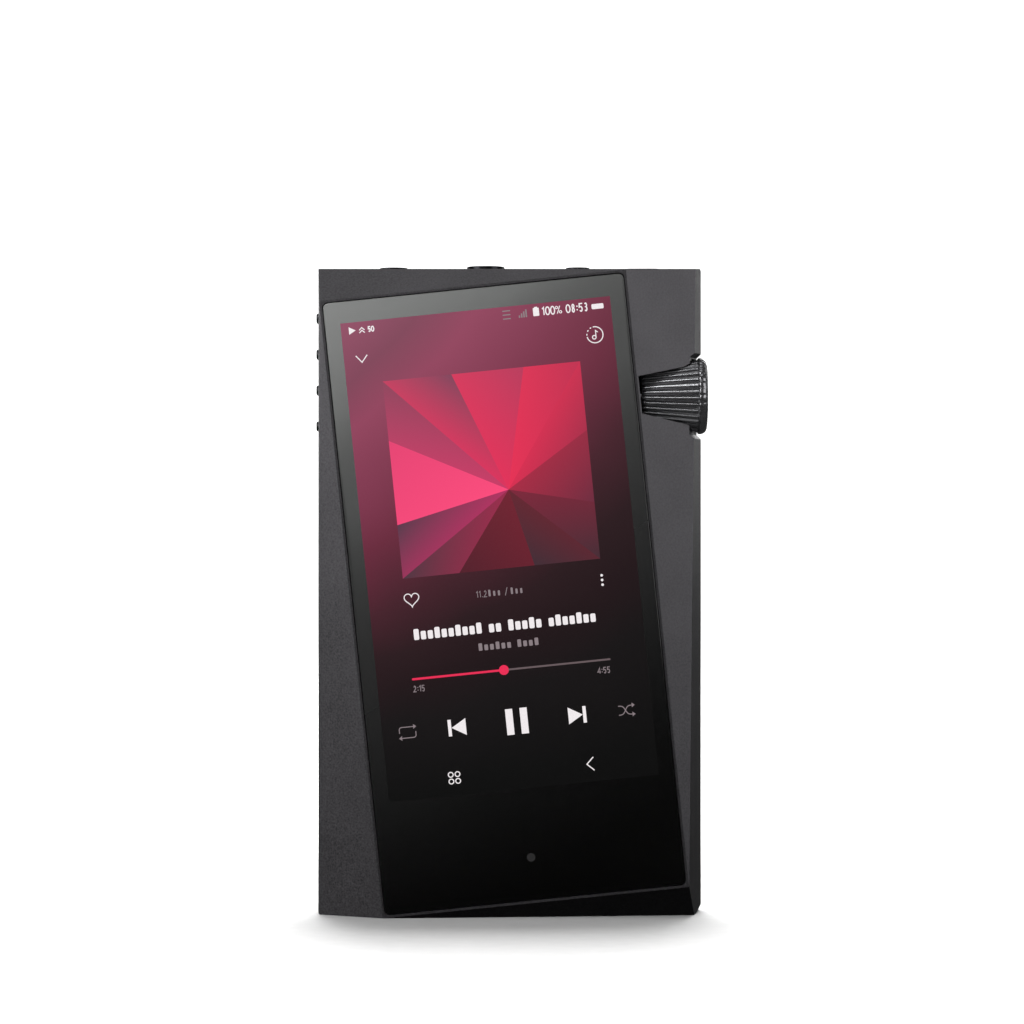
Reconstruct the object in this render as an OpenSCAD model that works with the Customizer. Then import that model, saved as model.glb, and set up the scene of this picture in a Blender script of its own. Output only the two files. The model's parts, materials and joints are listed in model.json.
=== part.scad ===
// Digital audio player: a tilted display in a faceted aluminium body.
// X is to the right, Y to the rear and Z up. The origin is at the middle of the bottom face.
// All sizes are in millimetres and all angles in degrees.

/* [Body] */
// Width of the body where it is widest
body_w = 64.3; // [60:0.1:80]
// Height of the body without its socket rings
body_h = 108.2; // [104:0.1:132]
// Depth of the body from the front ridge to the rear face
body_d = 16.1; // [15.6:0.1:20]
// Wall of the body shell
wall = 1.3; // [1.1:0.1:1.6]
// Thickness of the front wall around the display
front_wall = 3.2; // [3:0.1:3.6]
// Turn of the display within the body
tilt = 5.85; // [3:0.05:7]
// Depth of the rear cover, up to the widest line of the walls
rear_depth = 4.05; // [3.8:0.05:4.4]
// Lean of the left wall towards the front
left_lean = 0.55; // [0.2:0.05:0.8]
// Lean of the right wall towards the front
right_lean = 2.55; // [1.8:0.05:2.8]
// Lean of both walls towards the rear
rear_lean = 0.7; // [0.4:0.1:1]
// How far the top leans in, from its highest line to the front
top_lean = 0.8; // [0.4:0.1:0.9]
// How far the front ridge stops short of the top
top_drop = 0.9; // [0.5:0.1:1.4]
// Slope of the left and right facets
side_slope = 28.8; // [24:0.2:31]
// Slope of the top and bottom facets
end_slope = 44; // [36:0.5:46]
// Chamfer along the rear edges
rear_chamfer = 1.2; // [0.8:0.1:1.4]
// Cut across the bottom right corner
corner_cut = 1.1; // [0.5:0.1:1.6]
// Cut across the other three corners
small_cut = 0.35; // [0.2:0.05:0.6]

/* [Display] */
// Flat rim between the facets and the glass
rim = 0.5; // [0.4:0.05:0.9]
// Thickness of the front glass
glass_t = 0.8; // [0.6:0.1:1]
// Corner radius of the front glass
glass_r = 1; // [0.5:0.1:2]
// Border of the glass beside the display
border_side = 2.6; // [2.2:0.1:4]
// Border of the glass above the display
border_top = 3.6; // [3.2:0.1:6]
// Border of the glass below the display
border_bottom = 18.5; // [14:0.5:24]
// Edge of the display module around its lit area
module_edge = 0.8; // [0.6:0.1:1]
// Thickness of the display panel
panel_t = 1.1; // [0.9:0.1:1.2]
// Thickness of the backlight tray
tray_t = 0.8; // [0.6:0.1:0.9]
// Thickness of the bonding tape under the glass
tape_t = 0.15; // [0.1:0.05:0.2]
// Diameter of the touch key's sensor
sensor_d = 5; // [3:0.5:7]
// Height of the touch key above the lower edge of the glass
sensor_up = 7.05; // [5:0.05:10]
// Distance of the display's ribbon below the display module
flex_drop = 6.5; // [6.4:0.1:6.6]
// Width of the display's ribbon
flex_w = 10; // [6:0.5:12]
// Thickness of the chassis plate behind the display
plate_t = 0.5; // [0.4:0.1:0.6]

/* [Rear] */
// Width of the rear glass
rear_glass_w = 46; // [40:0.5:48]
// Height of the rear glass
rear_glass_h = 97; // [88:0.5:98]
// Thickness of the rear glass
rear_glass_t = 0.7; // [0.5:0.1:0.8]
// Thickness of the rear cover's floor under the glass
rear_floor = 1.2; // [1:0.1:1.4]
// Screw thread of the rear cover
screw_d = 1.6; // [1.4:0.1:2]
// Head of the rear cover's screws
head_d = 2.8; // [2.4:0.1:3]
// Distance of the rear screws from the sides
screw_in = 4; // [3.8:0.1:5]
// Post that each rear screw turns into
post_d = 4.4; // [4:0.1:5]

/* [Volume wheel] */
// Largest radius of the wheel
wheel_r = 6.4; // [6:0.05:6.5]
// Length of the wheel along its axis
wheel_len = 11; // [10:0.01:11.5]
// How far the wheel stands out of the right wall
wheel_proud = 0.75; // [0.5:0.01:1.2]
// Taper of the ribbed part of the volume wheel, in degrees
wheel_taper = 8.3; // [6:0.1:11]
// Length of the bevel at the wheel's outer end
wheel_bevel = 1.2; // [0.8:0.05:1.5]
// How far the flange at the volume wheel's outer end stands out from its ribs
flange_step = 0.4; // [0.2:0.05:0.6]
// Length of that flange before its bevel
flange_len = 0.45; // [0.3:0.05:0.8]
// Distance of the wheel's axis below the top
wheel_drop = 21.6; // [21:0.1:26]
// Number of grooves round the wheel
groove_count = 32; // [24:1:36]
// Depth of each groove
groove_depth = 0.35; // [0.2:0.05:0.4]
// Room round the wheel
wheel_gap = 0.3; // [0.2:0.05:0.35]
// Diameter of the wheel's shaft
shaft_d = 3; // [2.5:0.1:3.4]
// Outer diameter of the shaft's bushing
bushing_d = 5; // [4.6:0.1:6]
// How far the window's inner end is narrower than the wheel there, on each side
window_inner_in = 1.55; // [1.2:0.05:2]
// How far the window's outer end is narrower than the wheel's flange, on each side
window_outer_in = 0.45; // [0.2:0.05:0.8]
// Depth of the finger notch in the right wall
notch_depth = 0.7; // [0.4:0.05:0.9]
// How far the finger notch reaches past the wheel's flange, on each side
notch_over = 0.05; // [0:0.05:0.5]

/* [Keys] */
// Height of a side key
key_h = 1.65; // [1.4:0.05:2]
// Length of a side key across the depth
key_len = 5; // [4:0.1:6]
// Distance between side keys
key_pitch = 6; // [4.5:0.1:6.2]
// Distance of the first side key below the top
key_drop = 8.7; // [8:0.1:10]
// How far a side key stands out
key_proud = 0.2; // [0.15:0.01:0.4]
// Travel of a side key
key_travel = 0.25; // [0.15:0.01:0.3]
// Length of the power button
power_len = 6; // [5:0.1:7]
// Width of the power button across the depth
power_w = 2.2; // [1.8:0.1:2.6]
// Distance of the power button from the right wall
power_in = 10; // [9.8:0.1:11]
// How far the power button stands out
power_proud = 0; // [-0.1:0.01:0.3]
// Travel of the power button
power_travel = 0.28; // [0.15:0.01:0.3]
// Room round every key
key_gap = 0.1; // [0.06:0.01:0.15]

/* [Sockets] */
// Distance of the first socket from the left wall
socket_in = 12.65; // [11:0.05:14]
// Distance between the headphone sockets
socket_pitch = 15.4; // [14:0.1:17]
// Place of the sockets across the depth
socket_y = 0.4; // [0:0.1:0.5]
// Bores of the three headphone sockets, left to right
socket_bores = [3.6, 4.5, 2.6];
// Outer diameters of the three socket rings
socket_rings = [4.7, 6.35, 4];
// How far each socket ring stands out
socket_proud = [0.1, 0.3, 0.15];
// Depth of each socket's bore
socket_depth = [13, 17, 11];
// Width of the data socket's opening
usb_w = 8.94; // [8.8:0.02:9.2]
// Height of the data socket's opening
usb_h = 3.26; // [3.1:0.02:3.4]
// Length of the data socket
usb_len = 7.4; // [6.5:0.1:9]
// Width of the memory card slot
card_w = 11.4; // [11.2:0.1:12.5]
// Height of the memory card slot
card_h = 1.1; // [1:0.1:1.4]
// Distance of the memory card slot from the left wall
card_in = 15; // [14:0.5:18]

/* [Inside] */
// Thickness of the circuit board
board_t = 0.8; // [0.8:0.1:1]
// Room between the circuit board and the side walls
board_gap = 1.3; // [1:0.1:2]
// Thickness of the battery
battery_t = 7; // [6:0.1:7.4]
// Height of the battery
battery_h = 50; // [40:1:52]
// Gap between the battery and the slanting walls beside it
battery_gap = 1.6; // [1.2:0.1:3]
// Height of the battery above the bottom
battery_up = 16; // [16:0.5:18]

/* [Hidden] */
$fn = 48;
// Larger than the whole object, for cutting planes.
big = 300;
front_y = -body_d / 2;
rear_y = body_d / 2;
split_y = rear_y - rear_depth;
left_x = -body_w / 2;
right_x = body_w / 2;

// The front ridge is the tilted rectangle whose corners touch the outline of the front.
front_w = body_w - left_lean - right_lean;
front_h = body_h - top_drop;
ridge_w = (front_w * cos(tilt) - front_h * sin(tilt)) / cos(2 * tilt);
ridge_h = (front_h * cos(tilt) - front_w * sin(tilt)) / cos(2 * tilt);
ridge_x = (left_lean - right_lean) / 2;
ridge_z = front_h / 2;

groove = 0.12;
glass_w = ridge_w - 2 * rim;
glass_h = ridge_h - 2 * rim;
lit_w = glass_w - 2 * border_side;
lit_h = glass_h - border_top - border_bottom;
lit_v = (border_bottom - border_top) / 2;
module_w = lit_w + 2 * module_edge;
module_h = lit_h + 2 * module_edge;
glass_back = front_y + glass_t;
ledge_y = glass_back + tape_t;
module_low = lit_v - module_h / 2;
flex_v = module_low - flex_drop;
sensor_v = sensor_up - glass_h / 2;
panel_y = glass_back + panel_t;
tray_y = panel_y + tray_t;
inner_y = front_y + front_wall;
plate_y = inner_y + plate_t;

recess_y = rear_y - rear_glass_t - tape_t;
lid_y = recess_y - rear_floor;
board_y = lid_y - 0.65 - board_t;
// Distance between parts that are laid on each other by hand.
seat = 0.02;

flex_t = 0.15;
connector_t = 1.2;
module_gap = 0.2;

// Top of the battery, which the chips stand above.
board_mid = battery_up + battery_h;
board_screw_z = battery_up + battery_h / 2;
plate_screw_in = 5.5;
plate_screw_up = 4;
small_post_in = 2.4;
small_post_r = 1.6;
small_screw_r = 0.6;
small_fit = 0.1;
small_head_r = 1.1;
small_head_t = 0.4;

screw_x = right_x - screw_in;
screw_low = screw_in;
screw_high = body_h - screw_in;
screw_len = 5;
head_t = 0.6;

wheel_z = body_h - wheel_drop;
wheel_end = right_x + wheel_proud;
wheel_x = wheel_end - wheel_len;
ribbed_len = wheel_len - wheel_bevel - flange_len;
ribbed_r = wheel_r - flange_step;
wheel_small_r = ribbed_r - ribbed_len * tan(wheel_taper);
bevel_r = wheel_r - 1.05;
window_inner = wheel_small_r - window_inner_in;
window_outer = wheel_r - window_outer_in;
notch_half = wheel_r + notch_over;
cap_r = 4;
cap_t = 0.4;
shaft_r = shaft_d / 2;
shaft_fit = 0.04;
shaft_in = 6;
bushing_x = wheel_x - 0.4;
bushing_len = 3.6;
clip_t = 0.4;
magnet_t = 1.4;
magnet_r = 2.6;
shaft_start = bushing_x - bushing_len - clip_t - magnet_t - 0.5;
wall_angle = atan(right_lean / (split_y - front_y));
rear_angle = atan(rear_lean / (rear_y - rear_chamfer - split_y));

key_flange = 0.5;
flange_edge = 0.6;
flange_gap = 0.06;
switch_gap = 0.08;
// The walls lean in beside the keys, so the flanges stand back by as much at their ends.
key_lean = max(left_lean / -front_y, rear_lean / (rear_y - rear_chamfer)) * (key_len + flange_edge) / 2;
key_x = left_x + wall + key_lean + flange_gap;
key_switch_x = key_x + key_flange + key_travel + switch_gap;
switch_t = 1.7;
key_board_x = key_switch_x + switch_t;
key_board_edge = 1.6;
power_x = right_x - power_in;
power_lean = top_lean * (split_y - socket_y + (power_w + flange_edge) / 2) / (split_y - front_y);
power_z = body_h - wall - power_lean - flange_gap;
power_switch_z = power_z - key_flange - power_travel - switch_gap;

socket_names = ["3_5", "4_4", "2_5"];
ring_fit = 0.03;
// Height of the leaning top where the sockets stand.
socket_top = body_h - top_lean * (split_y - socket_y) / (split_y - front_y);
housing_wall = 0.9;
usb_x = 0;
usb_wall = 0.3;
card_x = left_x + card_in;
card_y = board_y - 1.6;
card_len = 15;
card_frame = 0.8;
battery_y = plate_y + tape_t;
// Half of the room between the side facets at the battery's front, in the tilted frame
battery_room = ridge_w / 2 + (battery_y - front_y) / tan(side_slope) - wall / sin(side_slope);
left_room = (battery_room - (ridge_z - battery_up) * sin(tilt)) / cos(tilt) - ridge_x;
right_room = (battery_room - (battery_up + battery_h - ridge_z) * sin(tilt)) / cos(tilt) + ridge_x;
battery_w = 2 * (min(left_room, right_room) - battery_gap);

// ---- Shapes that repeat ----

// Extrudes an outline that is drawn as seen from the front, between two depths.
module slab(y0, y1) {
    translate([0, y1, 0]) rotate([90, 0, 0]) linear_extrude(y1 - y0) children();
}

// Extrudes an outline that is drawn as seen from the right, between two places along X.
module across(x0, x1) {
    translate([x0, 0, 0]) rotate([90, 0, 90]) linear_extrude(x1 - x0) children();
}

// Box between two corners.
module block(low, high) {
    translate(low) cube(high - low);
}

// Rectangle with round corners.
module rounded(w, h, r) {
    square([w - 2 * r, h], center = true);
    square([w, h - 2 * r], center = true);
    for (x = [-1, 1], y = [-1, 1]) translate([x * (w / 2 - r), y * (h / 2 - r)]) circle(r);
}

// Bar with full round ends.
module pill(w, h) {
    square([w - h, h], center = true);
    for (side = [-1, 1]) translate([side * (w - h) / 2, 0]) circle(h / 2);
}

// Moves its children into the tilted frame of the display, centred on the front ridge.
module tilted() {
    translate([ridge_x, 0, ridge_z]) rotate([0, -tilt, 0]) children();
}

// Moves its children onto the axis of the wheel, with their Z along the axis.
module on_axis(x) {
    translate([x, 0, wheel_z]) rotate([0, 90, 0]) children();
}

// Rod along Y between two depths.
module rod(x, z, y0, y1, r) {
    translate([x, y1, z]) rotate([90, 0, 0]) cylinder(r = r, h = y1 - y0);
}

function key_z(index) = body_h - key_drop - index * key_pitch;
function socket_x(index) = left_x + socket_in + index * socket_pitch;

// ---- Form of the body ----

// Plan of the body, moved in from its surface by a gap.
function plan(gap) = [
    [left_x + left_lean + gap, front_y],
    [right_x - right_lean - gap, front_y],
    [right_x - gap, split_y],
    [right_x - rear_lean - gap, rear_y - rear_chamfer],
    [right_x - rear_lean - rear_chamfer - gap, rear_y],
    [left_x + rear_lean + rear_chamfer + gap, rear_y],
    [left_x + rear_lean + gap, rear_y - rear_chamfer],
    [left_x + gap, 0]
];

// Side view of the body, with its rear chamfers.
function side_view(gap) = [
    [front_y, gap],
    [rear_y - rear_chamfer, gap],
    [rear_y, gap + rear_chamfer],
    [rear_y, body_h - gap - rear_chamfer],
    [rear_y - rear_chamfer, body_h - gap],
    [split_y, body_h - gap],
    [front_y, body_h - top_lean - gap]
];

// Front view of the body, with its four cut corners.
function front_view(gap) = [
    [left_x + gap + small_cut, gap],
    [right_x - gap - corner_cut, gap],
    [right_x - gap, gap + corner_cut],
    [right_x - gap, body_h - gap - small_cut],
    [right_x - gap - small_cut, body_h - gap],
    [left_x + gap + small_cut, body_h - gap],
    [left_x + gap, body_h - gap - small_cut],
    [left_x + gap, gap + small_cut]
];

// Everything behind one facet: a plane that falls back from a ridge line.
// turn is the way out to the ridge, reach its distance and gap the distance under the plane.
module behind_facet(turn, reach, slope, gap) {
    translate([ridge_x, front_y, ridge_z]) rotate([0, -tilt - turn, 0]) translate([reach, 0, 0])
        rotate([0, 0, slope]) translate([-big, gap, -big]) cube(2 * big);
}

// The body as one solid between two depths, moved in from its surface by a gap.
module body_form(gap, y0, y1) {
    intersection() {
        translate([0, 0, gap]) linear_extrude(body_h - 2 * gap) polygon(plan(gap));
        across(-big, big) polygon(side_view(gap));
        slab(y0, y1) polygon(front_view(gap));
        behind_facet(0, ridge_w / 2, side_slope, gap);
        behind_facet(90, ridge_h / 2, end_slope, gap);
        behind_facet(180, ridge_w / 2, side_slope, gap);
        behind_facet(270, ridge_h / 2, end_slope, gap);
    }
}

// ---- Openings in the body ----

// Room that the wheel turns in.
module wheel_room() {
    on_axis(wheel_x - wheel_gap) rotate_extrude() polygon([
        [0, 0],
        [wheel_small_r + wheel_gap, 0],
        [ribbed_r + wheel_gap, ribbed_len],
        [wheel_r + wheel_gap, ribbed_len],
        [wheel_r + wheel_gap, wheel_len + 2],
        [0, wheel_len + 2]
    ]);
}

// Window in the right facet that the wheel shows through.
module wheel_window() {
    lean = window_inner * tan(tilt);
    slab(front_y - 1, 0) translate([0, wheel_z]) polygon([
        [wheel_x - 0.4 + lean, -window_inner],
        [right_x + 2, -window_outer],
        [right_x + 2, window_outer],
        [wheel_x - 0.4 - lean, window_inner]
    ]);
}

// Finger notch along the right wall, front and rear of its widest line.
module wheel_notch() {
    notch = [
        [-notch_depth, -notch_half],
        [2, -notch_half - 2 - notch_depth],
        [2, notch_half + 2 + notch_depth],
        [-notch_depth, notch_half]
    ];
    translate([right_x, split_y, wheel_z]) {
        rotate([0, 0, -wall_angle]) slab(front_y - rear_y, 0.5) polygon(notch);
        rotate([0, 0, rear_angle]) slab(-0.5, rear_y) polygon(notch);
    }
}

// Slots of the four side keys.
module key_slots() {
    for (index = [0:3]) translate([0, 0, key_z(index)])
        across(left_x - 1, left_x + 2 * wall) pill(key_len + 2 * key_gap, key_h + 2 * key_gap);
}

// Slot of the power button.
module power_slot() {
    translate([power_x, socket_y, body_h - 2 * wall]) linear_extrude(2 * wall + 1)
        pill(power_len + 2 * key_gap, power_w + 2 * key_gap);
}

// Holes that the three socket rings stand in.
module socket_holes() {
    for (index = [0:2]) translate([socket_x(index), socket_y, body_h - 2 * wall])
        cylinder(r = socket_rings[index] / 2 + ring_fit, h = 2 * wall + 1);
}

// Outline of the pocket in the front wall that the display's ribbon lies in.
module flex_pocket() {
    translate([-flex_w / 2 - 3, flex_v - 1]) square([flex_w + 6, flex_drop + 1.5]);
}

// Openings of the data socket and the memory card in the bottom.
module bottom_slots() {
    translate([usb_x, socket_y, -1]) linear_extrude(2 * wall + 1)
        pill(usb_w + 2 * seat, usb_h + 2 * seat);
    translate([card_x, card_y, -1]) linear_extrude(2 * wall + 1)
        pill(card_w, card_h);
}

// Places of the four rear screws.
module at_rear_screws() {
    for (x = [-screw_x, screw_x], z = [screw_low, screw_high]) translate([x, 0, z]) children();
}

// Places of the four screws of the chassis plate, in the tilted frame.
module at_plate_screws() {
    for (u = [-1, 1], v = [plate_screw_up - ridge_h / 2, ridge_h / 2 - small_post_r])
        translate([u * (module_w / 2 - plate_screw_in), 0, v]) children();
}

// Places of the two screws of the circuit board.
module at_board_screws() {
    for (x = [-1, 1]) translate([x * (right_x - wall - small_post_in), 0, board_screw_z]) children();
}

// Posts of the rear screws and of the circuit board's screws, each run out to its wall.
module screw_posts() {
    post_y = plate_y + 0.1;
    at_rear_screws() rod(0, 0, post_y, lid_y - seat, post_d / 2);
    for (x = [-right_x, screw_x], z = [0, screw_high])
        block([x, post_y, z], [x + screw_in, lid_y - seat, z + screw_in]);
    at_board_screws() rod(0, 0, -1, board_y - seat, small_post_r);
    for (x = [-right_x, right_x - wall - small_post_in]) translate([x, 0, board_screw_z])
        block([0, -1, -small_post_r], [wall + small_post_in, board_y - seat, small_post_r]);
}

// ---- Body and front ----

module main_body() {
    color("dimgray") difference() {
        union() {
            difference() {
                body_form(0, front_y, split_y);
                body_form(wall, inner_y, split_y + 1);
            }
            intersection() {
                screw_posts();
                union() {
                    body_form(wall / 2, front_y, split_y);
                    body_form(wall + seat, front_y, rear_y);
                }
            }
        }
        tilted() slab(front_y - 1, ledge_y) rounded(glass_w + 2 * groove, glass_h + 2 * groove, glass_r);
        tilted() slab(front_y, inner_y + 1) translate([0, lit_v])
            square([module_w + 2 * module_gap, module_h + 2 * module_gap], center = true);
        tilted() slab(front_y, inner_y + 1) flex_pocket();
        tilted() slab(front_y, inner_y + 1) translate([0, sensor_v]) circle(d = sensor_d + 2 * seat);
        tilted() at_plate_screws() rod(0, 0, inner_y - 1.2, inner_y + 1, small_screw_r);
        wheel_room();
        wheel_window();
        wheel_notch();
        key_slots();
        power_slot();
        socket_holes();
        bottom_slots();
        at_rear_screws() rod(0, 0, lid_y - screw_len, lid_y + 1, screw_d / 2);
        at_board_screws() rod(0, 0, board_y - 2, board_y + 1, small_screw_r);
    }
}

module front_glass() {
    color("black") tilted() slab(front_y, glass_back) rounded(glass_w, glass_h, glass_r - groove / 2);
}

module glass_tape() {
    color("darkslategray") tilted() slab(glass_back, ledge_y) difference() {
        rounded(glass_w - 0.4, glass_h - 0.4, glass_r - groove);
        translate([0, lit_v]) square([module_w + 2 * module_gap, module_h + 2 * module_gap], center = true);
        flex_pocket();
        translate([0, sensor_v]) circle(d = sensor_d + 2 * seat);
    }
}

module display_panel() {
    color("midnightblue") tilted() slab(glass_back, panel_y) translate([0, lit_v])
        square([module_w, module_h], center = true);
}

module display_tray() {
    color("silver") tilted() slab(panel_y, tray_y) translate([0, lit_v])
        square([module_w, module_h], center = true);
}

module touch_sensor() {
    color("goldenrod") tilted() translate([0, 0, sensor_v])
        rod(0, 0, glass_back, glass_back + 0.4, sensor_d / 2);
}

// Ribbon from the display's lower edge, back beside the battery to its connector.
module display_flex() {
    color("orange") tilted() {
        slab(tray_y, tray_y + flex_t) translate([-flex_w / 2, flex_v]) square([flex_w, flex_drop + 2]);
        slab(tray_y, board_y - connector_t) translate([-flex_w / 2, flex_v]) square([flex_w, flex_t]);
    }
}

module chassis_plate() {
    color("darkgray") difference() {
        intersection() {
            tilted() slab(inner_y, plate_y) square([module_w + 2, ridge_h + 2], center = true);
            body_form(wall + 0.25, inner_y, plate_y);
        }
        tilted() at_plate_screws() rod(0, 0, inner_y - 1, plate_y + 1, small_screw_r + small_fit);
        tilted() slab(inner_y - 1, plate_y + 1) translate([0, flex_v])
            square([flex_w + 1.4, 2], center = true);
    }
}

module plate_screws() {
    color("lightgray") tilted() at_plate_screws() {
        rod(0, 0, inner_y - 1.1, plate_y, small_screw_r - seat);
        rod(0, 0, plate_y, plate_y + small_head_t, small_head_r);
    }
}

// ---- Rear ----

module rear_cover() {
    color("dimgray") difference() {
        body_form(0, split_y, rear_y);
        body_form(wall, split_y - 1, lid_y);
        tilted() slab(recess_y, rear_y + 1)
            rounded(rear_glass_w + 2 * groove, rear_glass_h + 2 * groove, glass_r);
        antenna_slot(0);
        at_rear_screws() rod(0, 0, lid_y - 1, rear_y + 1, screw_d / 2 + 0.1);
        at_rear_screws() rod(0, 0, rear_y - head_t - 0.1, rear_y + 1, head_d / 2 + 0.1);
        wheel_room();
        wheel_notch();
    }
}

// Block of the antenna window, smaller by a gap.
module antenna_slot(gap) {
    tilted() slab(lid_y, recess_y) translate([0, rear_glass_h / 2 - 9])
        rounded(30 - 2 * gap, 9 - 2 * gap, 2);
}

module antenna_window() {
    color("whitesmoke") antenna_slot(seat);
}

module antenna() {
    color("peru") tilted() slab(lid_y - 0.2, lid_y) translate([0, rear_glass_h / 2 - 9])
        square([24, 6], center = true);
}

module rear_glass() {
    color("black") tilted() slab(recess_y + tape_t, rear_y)
        rounded(rear_glass_w, rear_glass_h, glass_r - groove / 2);
}

module rear_tape() {
    color("darkslategray") tilted() slab(recess_y, recess_y + tape_t)
        rounded(rear_glass_w - 0.6, rear_glass_h - 0.6, glass_r);
}

// Screws with a flat head and a six-sided socket.
module rear_screws() {
    color("silver") at_rear_screws() difference() {
        union() {
            rod(0, 0, lid_y - screw_len + 0.5, rear_y - head_t, screw_d / 2 - seat);
            rod(0, 0, rear_y - head_t, rear_y - 0.1, head_d / 2);
        }
        translate([0, rear_y, 0]) rotate([90, 0, 0]) cylinder(r = 0.7, h = 0.5, $fn = 6);
    }
}

// ---- Boards and chips ----

module main_board() {
    edge_x = right_x - wall - board_gap;
    color("darkgreen") difference() {
        block([-edge_x, board_y, wall + 0.6], [edge_x, board_y + board_t, body_h - wall - 0.6]);
        at_rear_screws() rod(0, 0, board_y - 1, lid_y, post_d / 2 + 0.25);
        for (x = [-right_x, right_x], z = [0, body_h]) translate([x, 0, z])
            block([-screw_in, board_y - 1, -screw_in], [screw_in, lid_y, screw_in]);
        block(
            [bushing_x - 0.6, board_y - 1, wheel_z - wheel_r - 1],
            [big, lid_y, wheel_z + wheel_r + 1]);
        at_board_screws() rod(0, 0, board_y - 1, lid_y, small_screw_r + small_fit);
    }
}

module board_screws() {
    color("lightgray") at_board_screws() {
        rod(0, 0, board_y - 1.9, board_y + board_t, small_screw_r - seat);
        rod(0, 0, board_y + board_t, board_y + board_t + small_head_t, small_head_r);
    }
}

// Part on the front of the circuit board, by its middle, width, height and thickness.
module on_board(x, z, w, h, t) {
    block([x - w / 2, board_y - t, z - h / 2], [x + w / 2, board_y, z + h / 2]);
}

module processor_shield() {
    color("silver") on_board(-11.5, board_mid + 10, 15, 15, 1.6);
}

module amplifier_shield() {
    color("silver") on_board(4, board_mid + 10, 14, 15, 1.6);
}

module converter_chips() {
    color("black") for (x = [-25, 15]) on_board(x + 1.5, board_mid + 5.2, 3.4, 5, 0.9);
}

module memory_chips() {
    color("black") for (x = [-22, -13]) on_board(x, board_mid + 21, 7, 4, 0.9);
}

module clock_crystals() {
    color("gainsboro") for (x = [-25, -21.6]) on_board(x + 0.6, board_mid + 14 - (x + 25), 2.4, 2, 0.7);
}

module power_chip() {
    color("black") on_board(22, 8, 5, 5, 0.8);
}

module capacitors() {
    color("goldenrod") for (index = [0:5]) on_board(-6 + 2.9 * index, board_mid + 20, 1.6, 3.2, 1.8);
}

module display_connector() {
    color("ivory") tilted() slab(board_y - connector_t, board_y) translate([0, flex_v])
        square([flex_w + 1, 2.4], center = true);
}

module battery() {
    color("lightsteelblue") block(
        [-battery_w / 2, battery_y, battery_up],
        [battery_w / 2, battery_y + battery_t, battery_up + battery_h]);
}

module battery_tape() {
    color("white") for (x = [-1, 1]) translate([x * battery_w / 4, 0, 0])
        block([-5, plate_y, battery_up + 5], [5, battery_y, battery_up + battery_h - 5]);
}

module battery_connector() {
    color("ivory") on_board(12, 11, 6, 4, 1.4);
}

// ---- Sockets ----

module usb_shell() {
    color("silver") translate([usb_x, socket_y, 0.1]) difference() {
        linear_extrude(usb_len) pill(usb_w, usb_h);
        translate([0, 0, -1]) linear_extrude(usb_len + 0.5)
            pill(usb_w - 2 * usb_wall, usb_h - 2 * usb_wall);
    }
}

module usb_tongue() {
    color("black") translate([usb_x, socket_y, 0.1]) block([-3.35, -0.35, 1], [3.35, 0.35, usb_len - 0.5]);
}

module card_socket() {
    color("silver") difference() {
        block(
            [card_x - card_w / 2 - card_frame, card_y - 1.2, wall + 0.1],
            [card_x + card_w / 2 + card_frame, board_y, card_len]);
        block(
            [card_x - card_w / 2, card_y - card_h / 2, 0],
            [card_x + card_w / 2, card_y + card_h / 2, card_len - 0.6]);
    }
}

// Metal ring and sleeve of one headphone socket.
module socket_ring(index) {
    top = socket_top + socket_proud[index];
    color("gainsboro") translate([socket_x(index), socket_y, top - socket_depth[index]]) difference() {
        cylinder(d = socket_rings[index], h = socket_depth[index]);
        translate([0, 0, -1]) cylinder(d = socket_bores[index], h = socket_depth[index] + 2);
    }
}

// Plastic housing round one socket's sleeve, standing on the circuit board.
module socket_housing(index) {
    half = socket_rings[index] / 2 + housing_wall;
    top = body_h - wall - 0.1;
    foot = socket_top + socket_proud[index] - socket_depth[index];
    x = socket_x(index);
    color("black") difference() {
        intersection() {
            block([x - half, socket_y - half, foot - 1], [x + half, board_y, top]);
            body_form(wall + seat, inner_y, rear_y);
        }
        translate([x, socket_y, foot]) cylinder(r = socket_rings[index] / 2 + ring_fit, h = big);
    }
}

module socket_3_5_ring() {
    socket_ring(0);
}

module socket_4_4_ring() {
    socket_ring(1);
}

module socket_2_5_ring() {
    socket_ring(2);
}

module socket_3_5_housing() {
    socket_housing(0);
}

module socket_4_4_housing() {
    socket_housing(1);
}

module socket_2_5_housing() {
    socket_housing(2);
}

// ---- Volume wheel ----

module volume_wheel() {
    side = groove_depth * sqrt(2);
    color("black") on_axis(wheel_x) difference() {
        rotate_extrude() polygon([
            [shaft_r, 0],
            [wheel_small_r, 0],
            [ribbed_r, ribbed_len],
            [wheel_r, ribbed_len],
            [wheel_r, ribbed_len + flange_len],
            [bevel_r, wheel_len],
            [cap_r + seat, wheel_len],
            [cap_r + seat, wheel_len - cap_t],
            [0, wheel_len - cap_t],
            [0, shaft_in],
            [shaft_r, shaft_in]
        ]);
        for (index = [0:groove_count - 1]) rotate([0, 0, index * 360 / groove_count])
            translate([wheel_small_r, 0, 0]) rotate([0, wheel_taper, 0]) rotate([0, 0, 45])
                translate([-side / 2, -side / 2, -1]) cube([side, side, ribbed_len / cos(wheel_taper) + 1]);
    }
}

module wheel_cap() {
    color("silver") on_axis(wheel_end - cap_t) cylinder(r = cap_r, h = cap_t);
}

module wheel_shaft() {
    color("silver") on_axis(shaft_start) cylinder(r = shaft_r - seat, h = wheel_x + shaft_in - shaft_start);
}

module wheel_bushing() {
    color("goldenrod") on_axis(bushing_x - bushing_len) difference() {
        cylinder(d = bushing_d, h = bushing_len);
        translate([0, 0, -1]) cylinder(r = shaft_r - seat + shaft_fit, h = bushing_len + 2);
    }
}

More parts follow.
